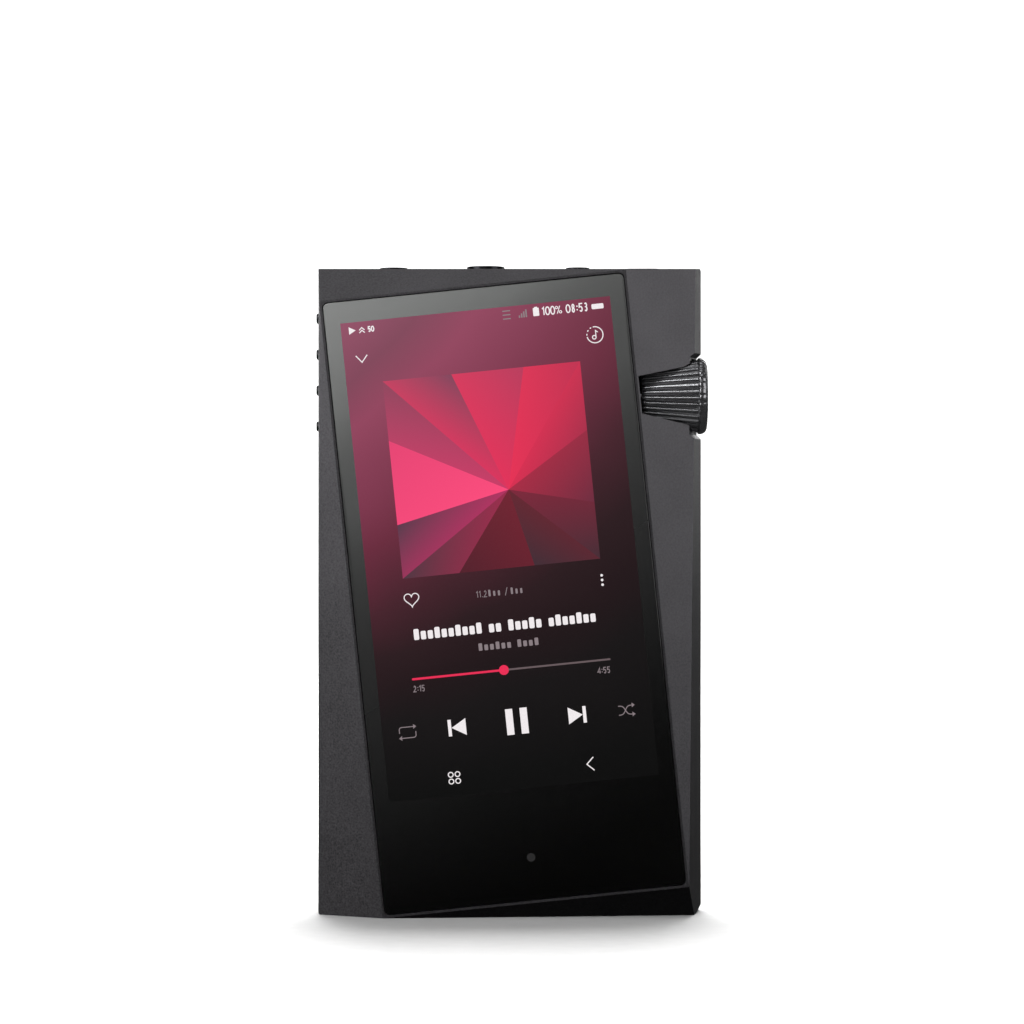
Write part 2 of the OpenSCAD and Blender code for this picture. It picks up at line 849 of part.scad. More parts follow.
// Bracket that holds the bushing and stands on the circuit board.
module wheel_bracket() {
    foot_x = bushing_x - bushing_len;
    color("darkgray") difference() {
        union() {
            block([foot_x + 0.3, -4, wheel_z - 4], [bushing_x - 0.8, board_y, wheel_z + 4]);
            block([foot_x - 2.2, board_y - 0.8, wheel_z - 5.4], [bushing_x - 0.8, board_y, wheel_z + 5.4]);
        }
        on_axis(foot_x - 1) cylinder(d = bushing_d + 2 * seat, h = bushing_len + 2);
    }
}

module shaft_clip() {
    color("silver") on_axis(bushing_x - bushing_len - clip_t - 0.1) difference() {
        cylinder(r = shaft_r + 0.9, h = clip_t);
        translate([0, 0, -1]) cylinder(r = shaft_r, h = clip_t + 2);
    }
}

module encoder_magnet() {
    color("slategray") on_axis(shaft_start - 0.5) difference() {
        cylinder(r = magnet_r, h = magnet_t);
        translate([0, 0, 0.5]) cylinder(r = shaft_r, h = magnet_t);
    }
}

module encoder_sensor() {
    sensor_x = shaft_start - 0.9;
    color("black") block([sensor_x - 1, -2, wheel_z - 2], [sensor_x, board_y, wheel_z + 2]);
}

// ---- Keys ----

// One side key: a pill through the wall, with a flange behind it.
module side_key(index) {
    color("gray") translate([0, 0, key_z(index)]) {
        across(left_x - key_proud, key_x) pill(key_len, key_h);
        across(key_x, key_x + key_flange) pill(key_len + flange_edge, key_h + flange_edge);
    }
}

module side_key_1() {
    side_key(0);
}

module side_key_2() {
    side_key(1);
}

module side_key_3() {
    side_key(2);
}

module side_key_4() {
    side_key(3);
}

module key_switches() {
    color("silver") for (index = [0:3]) translate([0, 0, key_z(index)]) {
        across(key_switch_x + 0.5, key_board_x) square([3.6, 3], center = true);
        across(key_switch_x, key_board_x) square([1.6, 1], center = true);
    }
}

module key_board() {
    color("darkgreen") block(
        [key_board_x, -2.6, key_z(3) - key_board_edge],
        [key_board_x + 0.6, board_y, key_z(0) + key_board_edge]);
}

module power_button() {
    color("gray") translate([power_x, socket_y, 0]) {
        translate([0, 0, power_z]) linear_extrude(socket_top + power_proud - power_z)
            pill(power_len, power_w);
        translate([0, 0, power_z - key_flange]) linear_extrude(key_flange)
            pill(power_len + flange_edge, power_w + flange_edge);
    }
}

module power_switch() {
    color("silver") union() {
        translate([power_x, 0, power_switch_z]) {
            block([-1.9, socket_y - 1.4, -2.6], [1.9, board_y, -0.5]);
            block([-0.9, socket_y - 0.6, -2.6], [0.9, socket_y + 0.6, 0]);
        }
    }
}

main_body();
front_glass();
glass_tape();
display_panel();
display_tray();
touch_sensor();
display_flex();
chassis_plate();
plate_screws();
rear_cover();
rear_glass();
rear_tape();
rear_screws();
antenna_window();
antenna();
main_board();
board_screws();
processor_shield();
amplifier_shield();
converter_chips();
memory_chips();
clock_crystals();
power_chip();
capacitors();
display_connector();
battery();
battery_tape();
battery_connector();
usb_shell();
usb_tongue();
card_socket();
socket_3_5_ring();
socket_4_4_ring();
socket_2_5_ring();
socket_3_5_housing();
socket_4_4_housing();
socket_2_5_housing();
volume_wheel();
wheel_cap();
wheel_shaft();
wheel_bushing();
wheel_bracket();
shaft_clip();
encoder_magnet();
encoder_sensor();
side_key_1();
side_key_2();
side_key_3();
side_key_4();
key_switches();
key_board();
power_button();
power_switch();
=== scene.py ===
"""A digital audio player: finishes, display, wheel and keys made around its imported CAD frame."""

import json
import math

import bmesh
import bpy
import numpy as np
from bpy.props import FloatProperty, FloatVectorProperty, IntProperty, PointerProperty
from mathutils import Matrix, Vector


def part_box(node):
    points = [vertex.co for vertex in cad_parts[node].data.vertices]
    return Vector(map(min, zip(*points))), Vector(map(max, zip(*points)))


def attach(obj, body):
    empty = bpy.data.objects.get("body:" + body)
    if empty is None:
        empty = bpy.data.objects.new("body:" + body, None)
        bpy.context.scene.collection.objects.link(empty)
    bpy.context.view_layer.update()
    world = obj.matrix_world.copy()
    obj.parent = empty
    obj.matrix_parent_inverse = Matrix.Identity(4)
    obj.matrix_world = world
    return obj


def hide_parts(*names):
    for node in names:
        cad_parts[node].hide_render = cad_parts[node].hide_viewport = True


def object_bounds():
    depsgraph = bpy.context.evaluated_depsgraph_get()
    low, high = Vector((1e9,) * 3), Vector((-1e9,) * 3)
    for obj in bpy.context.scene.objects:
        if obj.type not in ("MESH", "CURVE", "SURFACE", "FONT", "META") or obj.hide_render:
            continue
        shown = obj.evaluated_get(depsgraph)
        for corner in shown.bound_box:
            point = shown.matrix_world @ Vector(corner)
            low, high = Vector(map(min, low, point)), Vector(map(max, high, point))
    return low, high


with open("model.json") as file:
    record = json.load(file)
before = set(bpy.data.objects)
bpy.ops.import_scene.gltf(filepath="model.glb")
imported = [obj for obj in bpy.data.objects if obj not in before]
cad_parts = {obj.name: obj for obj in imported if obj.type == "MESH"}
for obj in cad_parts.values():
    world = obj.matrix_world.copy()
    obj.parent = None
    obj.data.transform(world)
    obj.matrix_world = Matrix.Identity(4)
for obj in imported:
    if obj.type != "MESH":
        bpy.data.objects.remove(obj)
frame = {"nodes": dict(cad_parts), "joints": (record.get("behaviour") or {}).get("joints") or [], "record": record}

bl_info = {
    "name": "Digital Audio Player",
    "version": (1, 0, 0),
    "blender": (4, 5, 0),
    "location": "3D View > Sidebar > Player",
    "description": "Builds the player's shells, display, wheel, keys and sockets around its CAD frame",
    "category": "Add Mesh",
}

CAD_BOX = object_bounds()
NODES = frame["nodes"]
JOINTS = {joint["name"]: joint for joint in frame["joints"]}
BODY_OF = {node: body for body, nodes in frame["record"]["behaviour"]["bodies"].items() for node in nodes}
SLOT_OF = {row["node"]: row["material_slot"] for row in frame["record"]["subparts"]}
MM = 0.001
TURN = 2 * math.pi


# Colours and nodes


def linear(code, alpha=1.0):
    """An sRGB hex colour such as "#3a3b3c" as linear red, green, blue and alpha."""
    srgb = np.array([int(code[i:i + 2], 16) for i in (1, 3, 5)]) / 255
    rgb = np.where(srgb <= 0.04045, srgb / 12.92, ((srgb + 0.055) / 1.055) ** 2.4)
    return (*map(float, rgb), alpha)


def add(tree, kind, settings=None, **inputs):
    """Adds a node, sets its properties, and sets or links its inputs by name (spaces as _) or number (i0)."""
    made = tree.nodes.new(kind)
    for key, value in (settings or {}).items():
        setattr(made, key, value)
    for key, value in inputs.items():
        by_number = key[0] == "i" and key[1:].isdigit()
        socket = made.inputs[int(key[1:]) if by_number else key.replace("_", " ")]
        if isinstance(value, bpy.types.NodeSocket):
            tree.links.new(value, socket)
        else:
            socket.default_value = value
    return made


def new_material(name, **surface):
    """A material with one Principled shader whose own sockets hold what is the same all over."""
    made = bpy.data.materials.new(name)
    made.use_nodes = True
    tree = made.node_tree
    tree.nodes.clear()
    shader = add(tree, "ShaderNodeBsdfPrincipled", None, **surface)
    add(tree, "ShaderNodeOutputMaterial", None, Surface=shader.outputs["BSDF"])
    return made, tree, shader


def place(tree):
    """Object coordinates, which are the frame's own in metres."""
    return add(tree, "ShaderNodeTexCoord").outputs["Object"]


def noise(tree, size, detail=3.0, stretch=None):
    """Noise whose features are about size metres across."""
    where = place(tree)
    if stretch:
        where = add(tree, "ShaderNodeMapping", None, Vector=where, Scale=stretch).outputs["Vector"]
    made = add(tree, "ShaderNodeTexNoise", None, Vector=where, Scale=1 / size, Detail=detail, Roughness=0.55)
    return made.outputs["Fac"]


def ramp(tree, value, stops, interpolation="LINEAR"):
    """A colour ramp over value from (position, colour) stops, whose colours are sRGB hex codes or linear."""
    stops = [(position, linear(colour) if isinstance(colour, str) else colour) for position, colour in stops]
    made = add(tree, "ShaderNodeValToRGB", None, Fac=value)
    made.color_ramp.interpolation = interpolation
    elements = made.color_ramp.elements
    for element, (position, colour) in zip((elements[0], elements[1]), (stops[0], stops[-1])):
        element.position = position
        element.color = colour
    for position, colour in stops[1:-1]:
        elements.new(position).color = colour
    return made.outputs["Color"]


def reckon(tree, operation, *values):
    """The output of a math node over values, which are numbers or outputs."""
    inputs = {f"i{index}": value for index, value in enumerate(values)}
    return add(tree, "ShaderNodeMath", {"operation": operation}, **inputs).outputs[0]


def vary(tree, value, low, high):
    """Stretches a noise value, which mostly lies between 0.3 and 0.7, to low and high."""
    made = add(tree, "ShaderNodeMapRange", None,
               Value=value, From_Min=0.3, From_Max=0.7, To_Min=low, To_Max=high)
    return made.outputs["Result"]


def bump(tree, height, depth, strength=1.0):
    """A normal from a height field of the given depth in metres."""
    made = add(tree, "ShaderNodeBump", None, Height=height, Distance=depth, Strength=strength)
    return made.outputs["Normal"]


def join(tree, shader, name, output):
    """Links an output to one of a shader's sockets."""
    tree.links.new(output, shader.inputs[name])


# Materials

MATERIALS = {}


def finish_of(make):
    """Keeps one material for each recipe, so that pieces of one finish share it."""
    def once(*settings):
        key = (make.__name__, *settings)
        if key not in MATERIALS:
            MATERIALS[key] = make(*settings)
        return MATERIALS[key]
    return once


@finish_of
def blasted_aluminium(code="#3c3b3d"):
    """Aluminium, blasted with fine beads and anodised: a satin metal with a fine even sparkle."""
    made, tree, shader = new_material("blasted_anodised_aluminium", Metallic=1.0)
    # Bead marks are about 0.05 mm; they are drawn 0.3 mm wide so that they show.
    grain = noise(tree, 0.3 * MM, 2.0)
    cloud = noise(tree, 9 * MM, 2.0)
    dark, light = [c * 0.66 for c in linear(code)[:3]] + [1], [c * 1.34 for c in linear(code)[:3]] + [1]
    mixed = reckon(tree, "MULTIPLY_ADD", cloud, 0.25, grain)
    join(tree, shader, "Base Color", ramp(tree, mixed, [(0.35, dark), (0.9, light)]))
    join(tree, shader, "Roughness", vary(tree, grain, 0.4, 0.52))
    join(tree, shader, "Normal", bump(tree, grain, 0.02 * MM, 0.5))
    return made


@finish_of
def polished_black_glass():
    """Chemically toughened glass with its back printed black: a deep, even gloss."""
    made, tree, shader = new_material("polished_printed_glass", IOR=1.5)
    smear = noise(tree, 14 * MM, 3.0)
    join(tree, shader, "Base Color", ramp(tree, smear, [(0.3, "#08080a"), (0.7, "#0b0b0d")]))
    join(tree, shader, "Roughness", vary(tree, smear, 0.03, 0.06))
    return made


def tilted_place(tree, node):
    """The x and z outputs in the frame of a turned node, and that node's size."""
    turn, centre, size = tilted_frame(node)
    where = add(tree, "ShaderNodeMapping", {"vector_type": "TEXTURE"}, Vector=place(tree),
                Location=(centre[0], 0, centre[1]), Rotation=(0, -turn, 0)).outputs["Vector"]
    parts = add(tree, "ShaderNodeSeparateXYZ", None, Vector=where).outputs
    return parts["X"], parts["Z"], size


def lit_material(name):
    """A material that glows as a display does, and still mirrors as its glass does."""
    return new_material(name, IOR=1.5, Roughness=0.04, Base_Color=linear("#020202"), Emission_Strength=1.0)


@finish_of
def smoked_cover_glass():
    """Toughened cover glass over a black print that carries a painted reflection, fading from grey at one corner
    to black: gloss over satin.
    """
    made, tree, shader = new_material("smoked_cover_glass", IOR=1.5)
    x, z, size = tilted_place(tree, "front_glass")
    # The painted reflection on the black print fades along a line that runs from the upper left to the lower
    # right.
    along = reckon(tree, "MULTIPLY_ADD", x, -0.55, z)
    fade = add(tree, "ShaderNodeMapRange", None,
               Value=along, From_Min=-size[1] / 2, From_Max=size[1] / 2 + 0.27 * size[0])
    # The grey stops of this ramp are painted reflection of the studio light; only the black end is the print's own
    # colour.
    shade = ramp(tree, fade.outputs["Result"], [
        (0.0, "#060606"), (0.2, "#101010"), (0.35, "#1d1d1d"),
        (0.5, "#232323"), (0.68, "#272827"), (0.77, "#323332"),
        (0.84, "#4a4b4a"), (1.0, "#6c6d6c")], "B_SPLINE")
    join(tree, shader, "Base Color", shade)
    join(tree, shader, "Roughness", vary(tree, noise(tree, 20 * MM, 2.0), 0.03, 0.05))
    return made


@finish_of
def lit_screen():
    """A lit liquid crystal display under glass, showing a colour wash: it glows and still mirrors."""
    made, tree, shader = lit_material("lit_screen")
    x, z, _ = tilted_place(tree, "display_panel")
    # The wash fades down the left edge, and towards the right faster the higher it is. With x and z in
    # metres from the display's middle it is z - (x + 0.022) (9.5 z + 0.41).
    slope = reckon(tree, "MULTIPLY_ADD", z, 9.5, 0.41)
    reach = reckon(tree, "ADD", x, 22 * MM)
    wash = reckon(tree, "SUBTRACT", z, reckon(tree, "MULTIPLY", reach, slope))
    soft = reckon(tree, "MULTIPLY_ADD", noise(tree, 16 * MM, 1.0), 5 * MM, wash)
    fade = add(tree, "ShaderNodeMapRange", None, Value=soft, From_Min=-58 * MM, From_Max=42 * MM)
    colours = ramp(tree, fade.outputs["Result"], [
        (0.0, "#060606"), (0.22, "#0f0f0f"), (0.33, "#181516"),
        (0.39, "#221619"), (0.45, "#2b1a1e"), (0.53, "#45202a"),
        (0.63, "#68273b"), (0.73, "#7f344d"), (0.83, "#8f3d59"),
        (0.91, "#7c3b52"), (1.0, "#8b415c")])
    join(tree, shader, "Emission Color", colours)
    return made


@finish_of
def lit_paint(name, rgb):
    """Dots of one colour on the lit display, given as linear red, green and blue."""
    made, tree, shader = lit_material("lit_" + name)
    # The dots of a display of this size are 0.06 mm apart; they are drawn 0.25 mm wide so that they show.
    dots = noise(tree, 0.25 * MM, 0.0)
    low = (*[0.93 * part for part in rgb], 1)
    join(tree, shader, "Emission Color", ramp(tree, dots, [(0.3, low), (0.7, (*rgb, 1))]))
    return made


@finish_of
def lit_art():
    """The cover picture on the display, whose colours are the mesh's own "tint"."""
    made, tree, shader = lit_material("lit_cover_art")
    tint = add(tree, "ShaderNodeAttribute", {"attribute_name": "tint"})
    join(tree, shader, "Emission Color", tint.outputs["Color"])
    return made


@finish_of
def gloss_black_anodising():
    """Turned aluminium dyed black and sealed: a dark metal with crisp highlights along its ribs."""
    made, tree, shader = new_material(
        "gloss_black_anodising", Metallic=0.85, Coat_Weight=0.2, Coat_Roughness=0.2, Coat_IOR=1.5)
    lathe_marks = noise(tree, 0.5 * MM, 1.0)
    tones = [(0.3, "#565658"), (0.7, "#5c5c5e")]
    join(tree, shader, "Base Color", ramp(tree, lathe_marks, tones))
    join(tree, shader, "Roughness", vary(tree, lathe_marks, 0.2, 0.23))
    return made


@finish_of
def spun_aluminium():
    """Aluminium faced on a lathe: fine rings that draw the light into a fan."""
    made, tree, shader = new_material("spun_aluminium", Metallic=1.0)
    axis = JOINTS["volume_turn"]["pos_m"]
    where = add(tree, "ShaderNodeMapping", None, Vector=place(tree),
                Location=(-axis[0], -axis[1], -axis[2])).outputs["Vector"]
    # The wave repeats every 0.31 / Scale, so the rings are 0.2 mm apart.
    rings = add(tree, "ShaderNodeTexWave", {"wave_type": "RINGS", "rings_direction": "X"}, Vector=where,
                Scale=0.32 / (0.2 * MM), Distortion=0.6, Detail=1.0)
    tones = [(0.0, "#3c3c3e"), (1.0, "#5a5a5c")]
    join(tree, shader, "Base Color", ramp(tree, rings.outputs["Fac"], tones))
    join(tree, shader, "Roughness", vary(tree, rings.outputs["Fac"], 0.26, 0.34))
    join(tree, shader, "Normal", bump(tree, rings.outputs["Fac"], 0.008 * MM, 0.6))
    return made


@finish_of
def turned_metal(name, code, low=0.18, high=0.3):
    """Turned and plated metal: bright, with faint tool marks."""
    made, tree, shader = new_material(name, Metallic=1.0)
    marks = noise(tree, 0.35 * MM, 3.0, stretch=(1.0, 1.0, 4.0))
    rgb = linear(code)[:3]
    tones = [(0.3, (*[0.85 * part for part in rgb], 1)), (0.7, (*rgb, 1))]
    join(tree, shader, "Base Color", ramp(tree, marks, tones))
    join(tree, shader, "Roughness", vary(tree, marks, low, high))
    join(tree, shader, "Normal", bump(tree, marks, 0.004 * MM, 0.5))
    return made


@finish_of
def moulded(name, code, low=0.4, high=0.55, size=0.4):
    """Moulded plastic, resin or foam with a fine even texture."""
    made, tree, shader = new_material(name, IOR=1.46)
    grain = noise(tree, size * MM, 3.0)
    rgb = linear(code)[:3]
    tones = [(0.3, (*[0.82 * part for part in rgb], 1)), (0.7, (*[min(1, 1.1 * part) for part in rgb], 1))]
    join(tree, shader, "Base Color", ramp(tree, grain, tones))
    join(tree, shader, "Roughness", vary(tree, grain, low, high))
    join(tree, shader, "Normal", bump(tree, grain, 0.01 * MM, 0.6))
    return made


@finish_of
def circuit_board():
    """Glass fibre board under green solder mask, with its copper showing as a lighter pattern."""
    made, tree, shader = new_material("green_circuit_board", IOR=1.55, Coat_Weight=0.4, Coat_Roughness=0.15)
    # Copper areas are about 1.6 mm across.
    cells = add(tree, "ShaderNodeTexVoronoi", {"distance": "MANHATTAN"},
                Vector=place(tree), Scale=1 / (1.6 * MM))
    tones = [(0.0, "#2d6b3c"), (0.3, "#1c4f2c"), (0.42, "#0d3219"), (1.0, "#0b2a15")]
    join(tree, shader, "Base Color", ramp(tree, cells.outputs["Distance"], tones))
    join(tree, shader, "Roughness", vary(tree, noise(tree, 1.2 * MM), 0.25, 0.4))
    join(tree, shader, "Normal", bump(tree, cells.outputs["Distance"], 0.03 * MM, 0.4))
    return made


# Each material slot's recipe and its settings.
SLOT_FINISH = {
    "anodised_aluminium": (blasted_aluminium,),
    "front_glass": (smoked_cover_glass,),
    "rear_glass": (polished_black_glass,),
    "bonding_tape": (moulded, "black_foam_tape", "#161616", 0.7, 0.9, 0.5),
    "display": (lit_screen,),
    "steel_sheet": (turned_metal, "pressed_steel", "#b4b4b6", 0.28, 0.4),
    "sensor_film": (moulded, "printed_sensor_film", "#8d6a2a", 0.3, 0.45, 0.6),
    "flex": (moulded, "polyimide_ribbon", "#9c5a1e", 0.25, 0.4, 0.8),
    "magnesium": (moulded, "cast_magnesium", "#6e7074", 0.45, 0.6, 0.5),
    "steel_screw": (turned_metal, "turned_steel", "#a9a9ac"),
    "window_plastic": (moulded, "white_polycarbonate", "#d2d2cc"),
    "circuit_board": (circuit_board,),
    "chip_resin": (moulded, "black_epoxy", "#1c1c1d", 0.5, 0.7, 0.3),
    "crystal_can": (turned_metal, "nickel_can", "#c9c8c2"),
    "capacitor_yellow": (moulded, "tantalum_epoxy", "#b98a2c"),
    "connector_ivory": (moulded, "ivory_nylon", "#d8d2bd"),
    "battery_foil": (turned_metal, "laminated_foil", "#a3a8ae", 0.3, 0.45),
    "black_plastic": (moulded, "black_nylon", "#151516"),
    "plated_brass": (turned_metal, "black_chromed_brass", "#1d1d1f", 0.2, 0.3),
    "wheel_metal": (gloss_black_anodising,),
    "wheel_cap_metal": (spun_aluminium,),
    "bushing_bronze": (turned_metal, "sintered_bronze", "#b08a4e", 0.35, 0.5),
    "magnet_grey": (turned_metal, "nickel_plated_magnet", "#8f9094"),
    "key_metal": (blasted_aluminium, "#2c2c2e"),
}


def finish_for(node):
    """The material of a CAD node's slot."""
    recipe, *settings = SLOT_FINISH[SLOT_OF[node]]
    return recipe(*settings)


# Mesh tools


def show(name, data):
    """Puts an object with this mesh, lamp or lens into the scene."""
    made = bpy.data.objects.new(name, data)
    bpy.context.scene.collection.objects.link(made)
    return made


def put(name, points, faces, material, node=None, body=None, smooth=None, tint=None):
    """Makes a piece from an (n, 3) array in metres, and rides it on its node's body."""
    mesh = bpy.data.meshes.new(name)
    mesh.from_pydata(np.asarray(points, float).reshape(-1, 3), [], faces)
    mesh.materials.append(material)
    if tint is not None:
        layer = mesh.color_attributes.new("tint", "FLOAT_COLOR", "POINT")
        layer.data.foreach_set("color", np.asarray(tint, np.float32).ravel())
    if smooth is not None:
        mesh.polygons.foreach_set("use_smooth", np.ones(len(mesh.polygons), bool))
        mesh.set_sharp_from_angle(angle=math.radians(smooth))
    mesh.validate()
    piece = show(name, mesh)
    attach(piece, body or BODY_OF[node])
    return piece


def grid_faces(rows, columns, closed=True):
    """Quads over a grid of rows by columns, with the last column joined to the first if closed."""
    row = np.arange(rows - 1)[:, None]
    column = np.arange(columns if closed else columns - 1)[None, :]
    after = (column + 1) % columns
    near, far = row * columns, (row + 1) * columns
    corners = (near + column, near + after, far + after, far + column)
    return np.stack(np.broadcast_arrays(*corners), -1).reshape(-1, 4).tolist()


def skin(rings, capped=True):
    """Faces over stacked rings, an array (rings, points, 3), with a flat face over each end if capped."""
    count, points = rings.shape[:2]
    faces = grid_faces(count, points)
    if capped:
        faces.append(list(range(points))[::-1])
        faces.append(list(range((count - 1) * points, count * points)))
    return faces


def round_outline(width, height, radius, steps=12):
    """A rectangle with round corners: four quarter circles whose centres stand in by the radius."""
    angle = np.linspace(0, TURN / 4, steps)[None, :] + (TURN / 4) * np.arange(4)[:, None]
    sign = np.array([[1, 1], [-1, 1], [-1, -1], [1, -1]])
    centre = sign * np.array([width / 2 - radius, height / 2 - radius])
    arcs = centre[:, None, :] + radius * np.stack([np.cos(angle), np.sin(angle)], -1)
    return arcs.reshape(-1, 2)


def pillow(width, height, radius, profile, steps=12):
    """Rings of a round-cornered shape: each (inset, depth) of the profile draws the outline in."""
    rings = []
    for inset, depth in profile:
        outline = round_outline(width - 2 * inset, height - 2 * inset, max(radius - inset, 1e-5), steps)
        rings.append(np.column_stack([outline, np.full(4 * steps, depth)]))
    return np.array(rings)


def lathe(profile, steps=64):
    """Rings round an axis: each (radius, along) of the profile turned once. Returns x, y, along."""
    profile = np.asarray(profile, float)
    angle = np.linspace(0, TURN, steps, endpoint=False)
    rings = profile[:, None, :1] * np.stack([np.cos(angle), np.sin(angle)], -1)[None]
    return np.concatenate([rings, np.broadcast_to(profile[:, None, 1:], rings.shape[:2] + (1,))], -1)


def tilted_frame(node):
    """The turn, centre (x, z) and size of a flat node that is turned in the front plane.

    The turn is that of the long principal axis of its points, which is exact for a symmetric outline.
    """
    count = len(NODES[node].data.vertices)
    points = np.empty(count * 3)
    NODES[node].data.vertices.foreach_get("co", points)
    flat = np.unique(points.reshape(-1, 3)[:, (0, 2)].round(7), axis=0)
    centre = (flat.min(0) + flat.max(0)) / 2
    off = flat - centre
    long_axis = np.linalg.eigh(off.T @ off)[1][:, 1]
    long_axis = long_axis * np.sign(long_axis[1])
    turn = math.atan2(-long_axis[0], long_axis[1])
    across = np.array([math.cos(turn), math.sin(turn)])
    return turn, centre, np.array([np.ptp(off @ across), np.ptp(off @ long_axis)])


def tilted(points, node, depth):
    """Carries (u, v) or (u, v, d) points into the frame of a turned node, d metres behind depth."""
    turn, centre, _ = tilted_frame(node)
    points = np.asarray(points, float)
    u, v = points[..., 0], points[..., 1]
    d = points[..., 2] if points.shape[-1] == 3 else 0 * u
    x = centre[0] + u * math.cos(turn) - v * math.sin(turn)
    z = centre[1] + u * math.sin(turn) + v * math.cos(turn)
    return np.stack([x, depth + d, z], -1)


def merged_copy(name, node, material, width):
    """A copy of a CAD node with its loose triangles merged into faces, and its edges broken by a bevel."""
    work = bmesh.new()
    work.from_mesh(NODES[node].data)
    bmesh.ops.remove_doubles(work, verts=work.verts, dist=2e-6)
    bmesh.ops.dissolve_limit(work, angle_limit=math.radians(0.6), verts=work.verts, edges=work.edges)
    mesh = bpy.data.meshes.new(name)
    work.to_mesh(mesh)
    work.free()
    mesh.materials.clear()
    mesh.materials.append(material)
    piece = show(name, mesh)
    bevel = piece.modifiers.new("broken_edges", "BEVEL")
    bevel.width = width
    bevel.segments = 2
    bevel.limit_method = "ANGLE"
    bevel.angle_limit = math.radians(12)
    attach(piece, BODY_OF[node])
    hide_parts(node)
    return piece


# Settings


class PlayerSizes(bpy.types.PropertyGroup):
    """Sizes that a user would change. The frame gives all the others."""

    edge: FloatProperty(
        name="Broken edge", description="Width of the break along the shell's edges",
        default=0.12 * MM, min=0.02 * MM, max=0.3 * MM, unit="LENGTH")
    glass_sink: FloatProperty(
        name="Glass sink", description="How far the glass lies under the ridge",
        default=0.04 * MM, min=0.02 * MM, max=0.2 * MM, unit="LENGTH")
    ribs: IntProperty(
        name="Wheel ribs", description="Ribs round the volume wheel", default=32, min=16, max=64)
    rib_depth: FloatProperty(
        name="Rib depth", description="Depth of the grooves between the ribs",
        default=0.42 * MM, min=0.1 * MM, max=0.6 * MM, unit="LENGTH")
    flange: FloatProperty(
        name="Wheel flange", description="How far the wheel's flange stands out from its ribs",
        default=0.4 * MM, min=0.1 * MM, max=0.6 * MM, unit="LENGTH")
    crown: FloatProperty(
        name="Key crown", description="How much the keys' ends are rounded over",
        default=0.22 * MM, min=0.05 * MM, max=0.4 * MM, unit="LENGTH")
    played: FloatProperty(
        name="Played", description="Share of the track that has been played",
        default=0.463, min=0, max=1, subtype="FACTOR")


class PlayerColours(bpy.types.PropertyGroup):
    """Colours that a user would change."""

    accent: FloatVectorProperty(
        name="Accent", description="Colour of the played part of the track",
        default=linear("#ee3158")[:3], min=0, max=1, size=3, subtype="COLOR")


def sizes():
    """The sizes that are set now."""
    return bpy.context.scene.player_sizes


# Drawing on the display


class Drawing:
    """Flat shapes on the display, in millimetres from its middle, gathered into one mesh."""

    def __init__(self):
        self.points, self.faces, self.count = [], [], 0

    def shape(self, outline):
        """A filled outline."""
        outline = np.asarray(outline, float)
        self.faces.append(list(range(self.count, self.count + len(outline))))
        self._keep(outline)

    def stroke(self, path, width, closed=False):
        """A ribbon along a path: its two sides are the path moved by half the width each way."""
        path = np.asarray(path, float)
        if closed:
            ahead, behind = np.roll(path, -1, 0), np.roll(path, 1, 0)
        else:
            ahead = np.vstack([path[1:], 2 * path[-1] - path[-2]])
            behind = np.vstack([2 * path[0] - path[1], path[:-1]])
        first, second = path - behind, ahead - path
        first /= np.linalg.norm(first, axis=1, keepdims=True)
        second /= np.linalg.norm(second, axis=1, keepdims=True)
        side = np.column_stack([-(first + second)[:, 1], (first + second)[:, 0]])
        side /= np.linalg.norm(side, axis=1, keepdims=True)
        square = np.column_stack([-first[:, 1], first[:, 0]])
        reach = np.clip(1 / np.maximum((side * square).sum(1), 0.35), 1, 2.2)[:, None]
        ribbon = np.stack([path - side * reach * width / 2, path + side * reach * width / 2])
        count = len(path)
        faces = np.array(grid_faces(2, count, closed)) + self.count
        self.faces.extend(faces.tolist())
        self._keep(ribbon.reshape(-1, 2))

    def bar(self, centre, width, height, radius=None):
        """A rectangle, with round ends unless a radius is given."""
        radius = min(width, height) / 2 * 0.98 if radius is None else max(radius, 1e-3)
        self.shape(round_outline(width, height, radius, 6) + np.asarray(centre))

    def disc(self, centre, radius, steps=32):
        """A filled circle."""
        self.shape(circle(centre, radius, steps - 1))

    def digits(self, text, start, height, width):
        """Plain stroked digits, from left to right. Returns where they end."""
        u, v = start
        for letter in text:
            if letter in ":.":
                for dot in ([0.25, 0.7] if letter == ":" else [0.06]):
                    self.disc((u + 0.1 * height, v + dot * height), width * 0.62, 10)
                u += 0.34 * height
                continue
            for path, closed in DIGITS[letter]:
                self.stroke(np.array(path) * height * [0.5, 1] + [u, v], width, closed)
            u += (0.46 if letter == "1" else 0.66) * height
        return u

    def blocks(self, start, words, pitch, height, width):
        """A row of upright blocks in place of words, of which every third is taller. Returns the end."""
        u, v = start
        count = 0
        for length in words:
            for _ in range(length):
                tall = height * (1.3 if count % 3 == 0 else 1)
                self.bar((u + width / 2, v + tall / 2), width, tall, 0.16 * height)
                u += pitch
                count += 1
            u += pitch * 0.8
        return u

    def _keep(self, points):
        """Stores the points that the last faces name."""
        self.points.append(points)
        self.count += len(points)

    def put(self, name, material, depth):
        """Lays the shapes on the display, with their faces to the front."""
        flat = np.concatenate(self.points) * MM
        placed = tilted(flat, "display_panel", depth)
        faces = []
        for face in self.faces:
            u, v = flat[face].T
            area = np.dot(u, np.roll(v, -1)) - np.dot(v, np.roll(u, -1))
            faces.append(face if area > 0 else face[::-1])
        piece = put(name, placed, faces, material, "display_panel")
        shell = piece.modifiers.new("thickness", "SOLIDIFY")
        shell.thickness = 0.006 * MM
        shell.offset = -1
        return piece


def arc(centre, radius, start, end, steps=24):
    """Points along a circle from one angle to another, in degrees."""
    angle = np.radians(np.linspace(start, end, steps))
    return np.asarray(centre) + radius * np.stack([np.cos(angle), np.sin(angle)], -1)


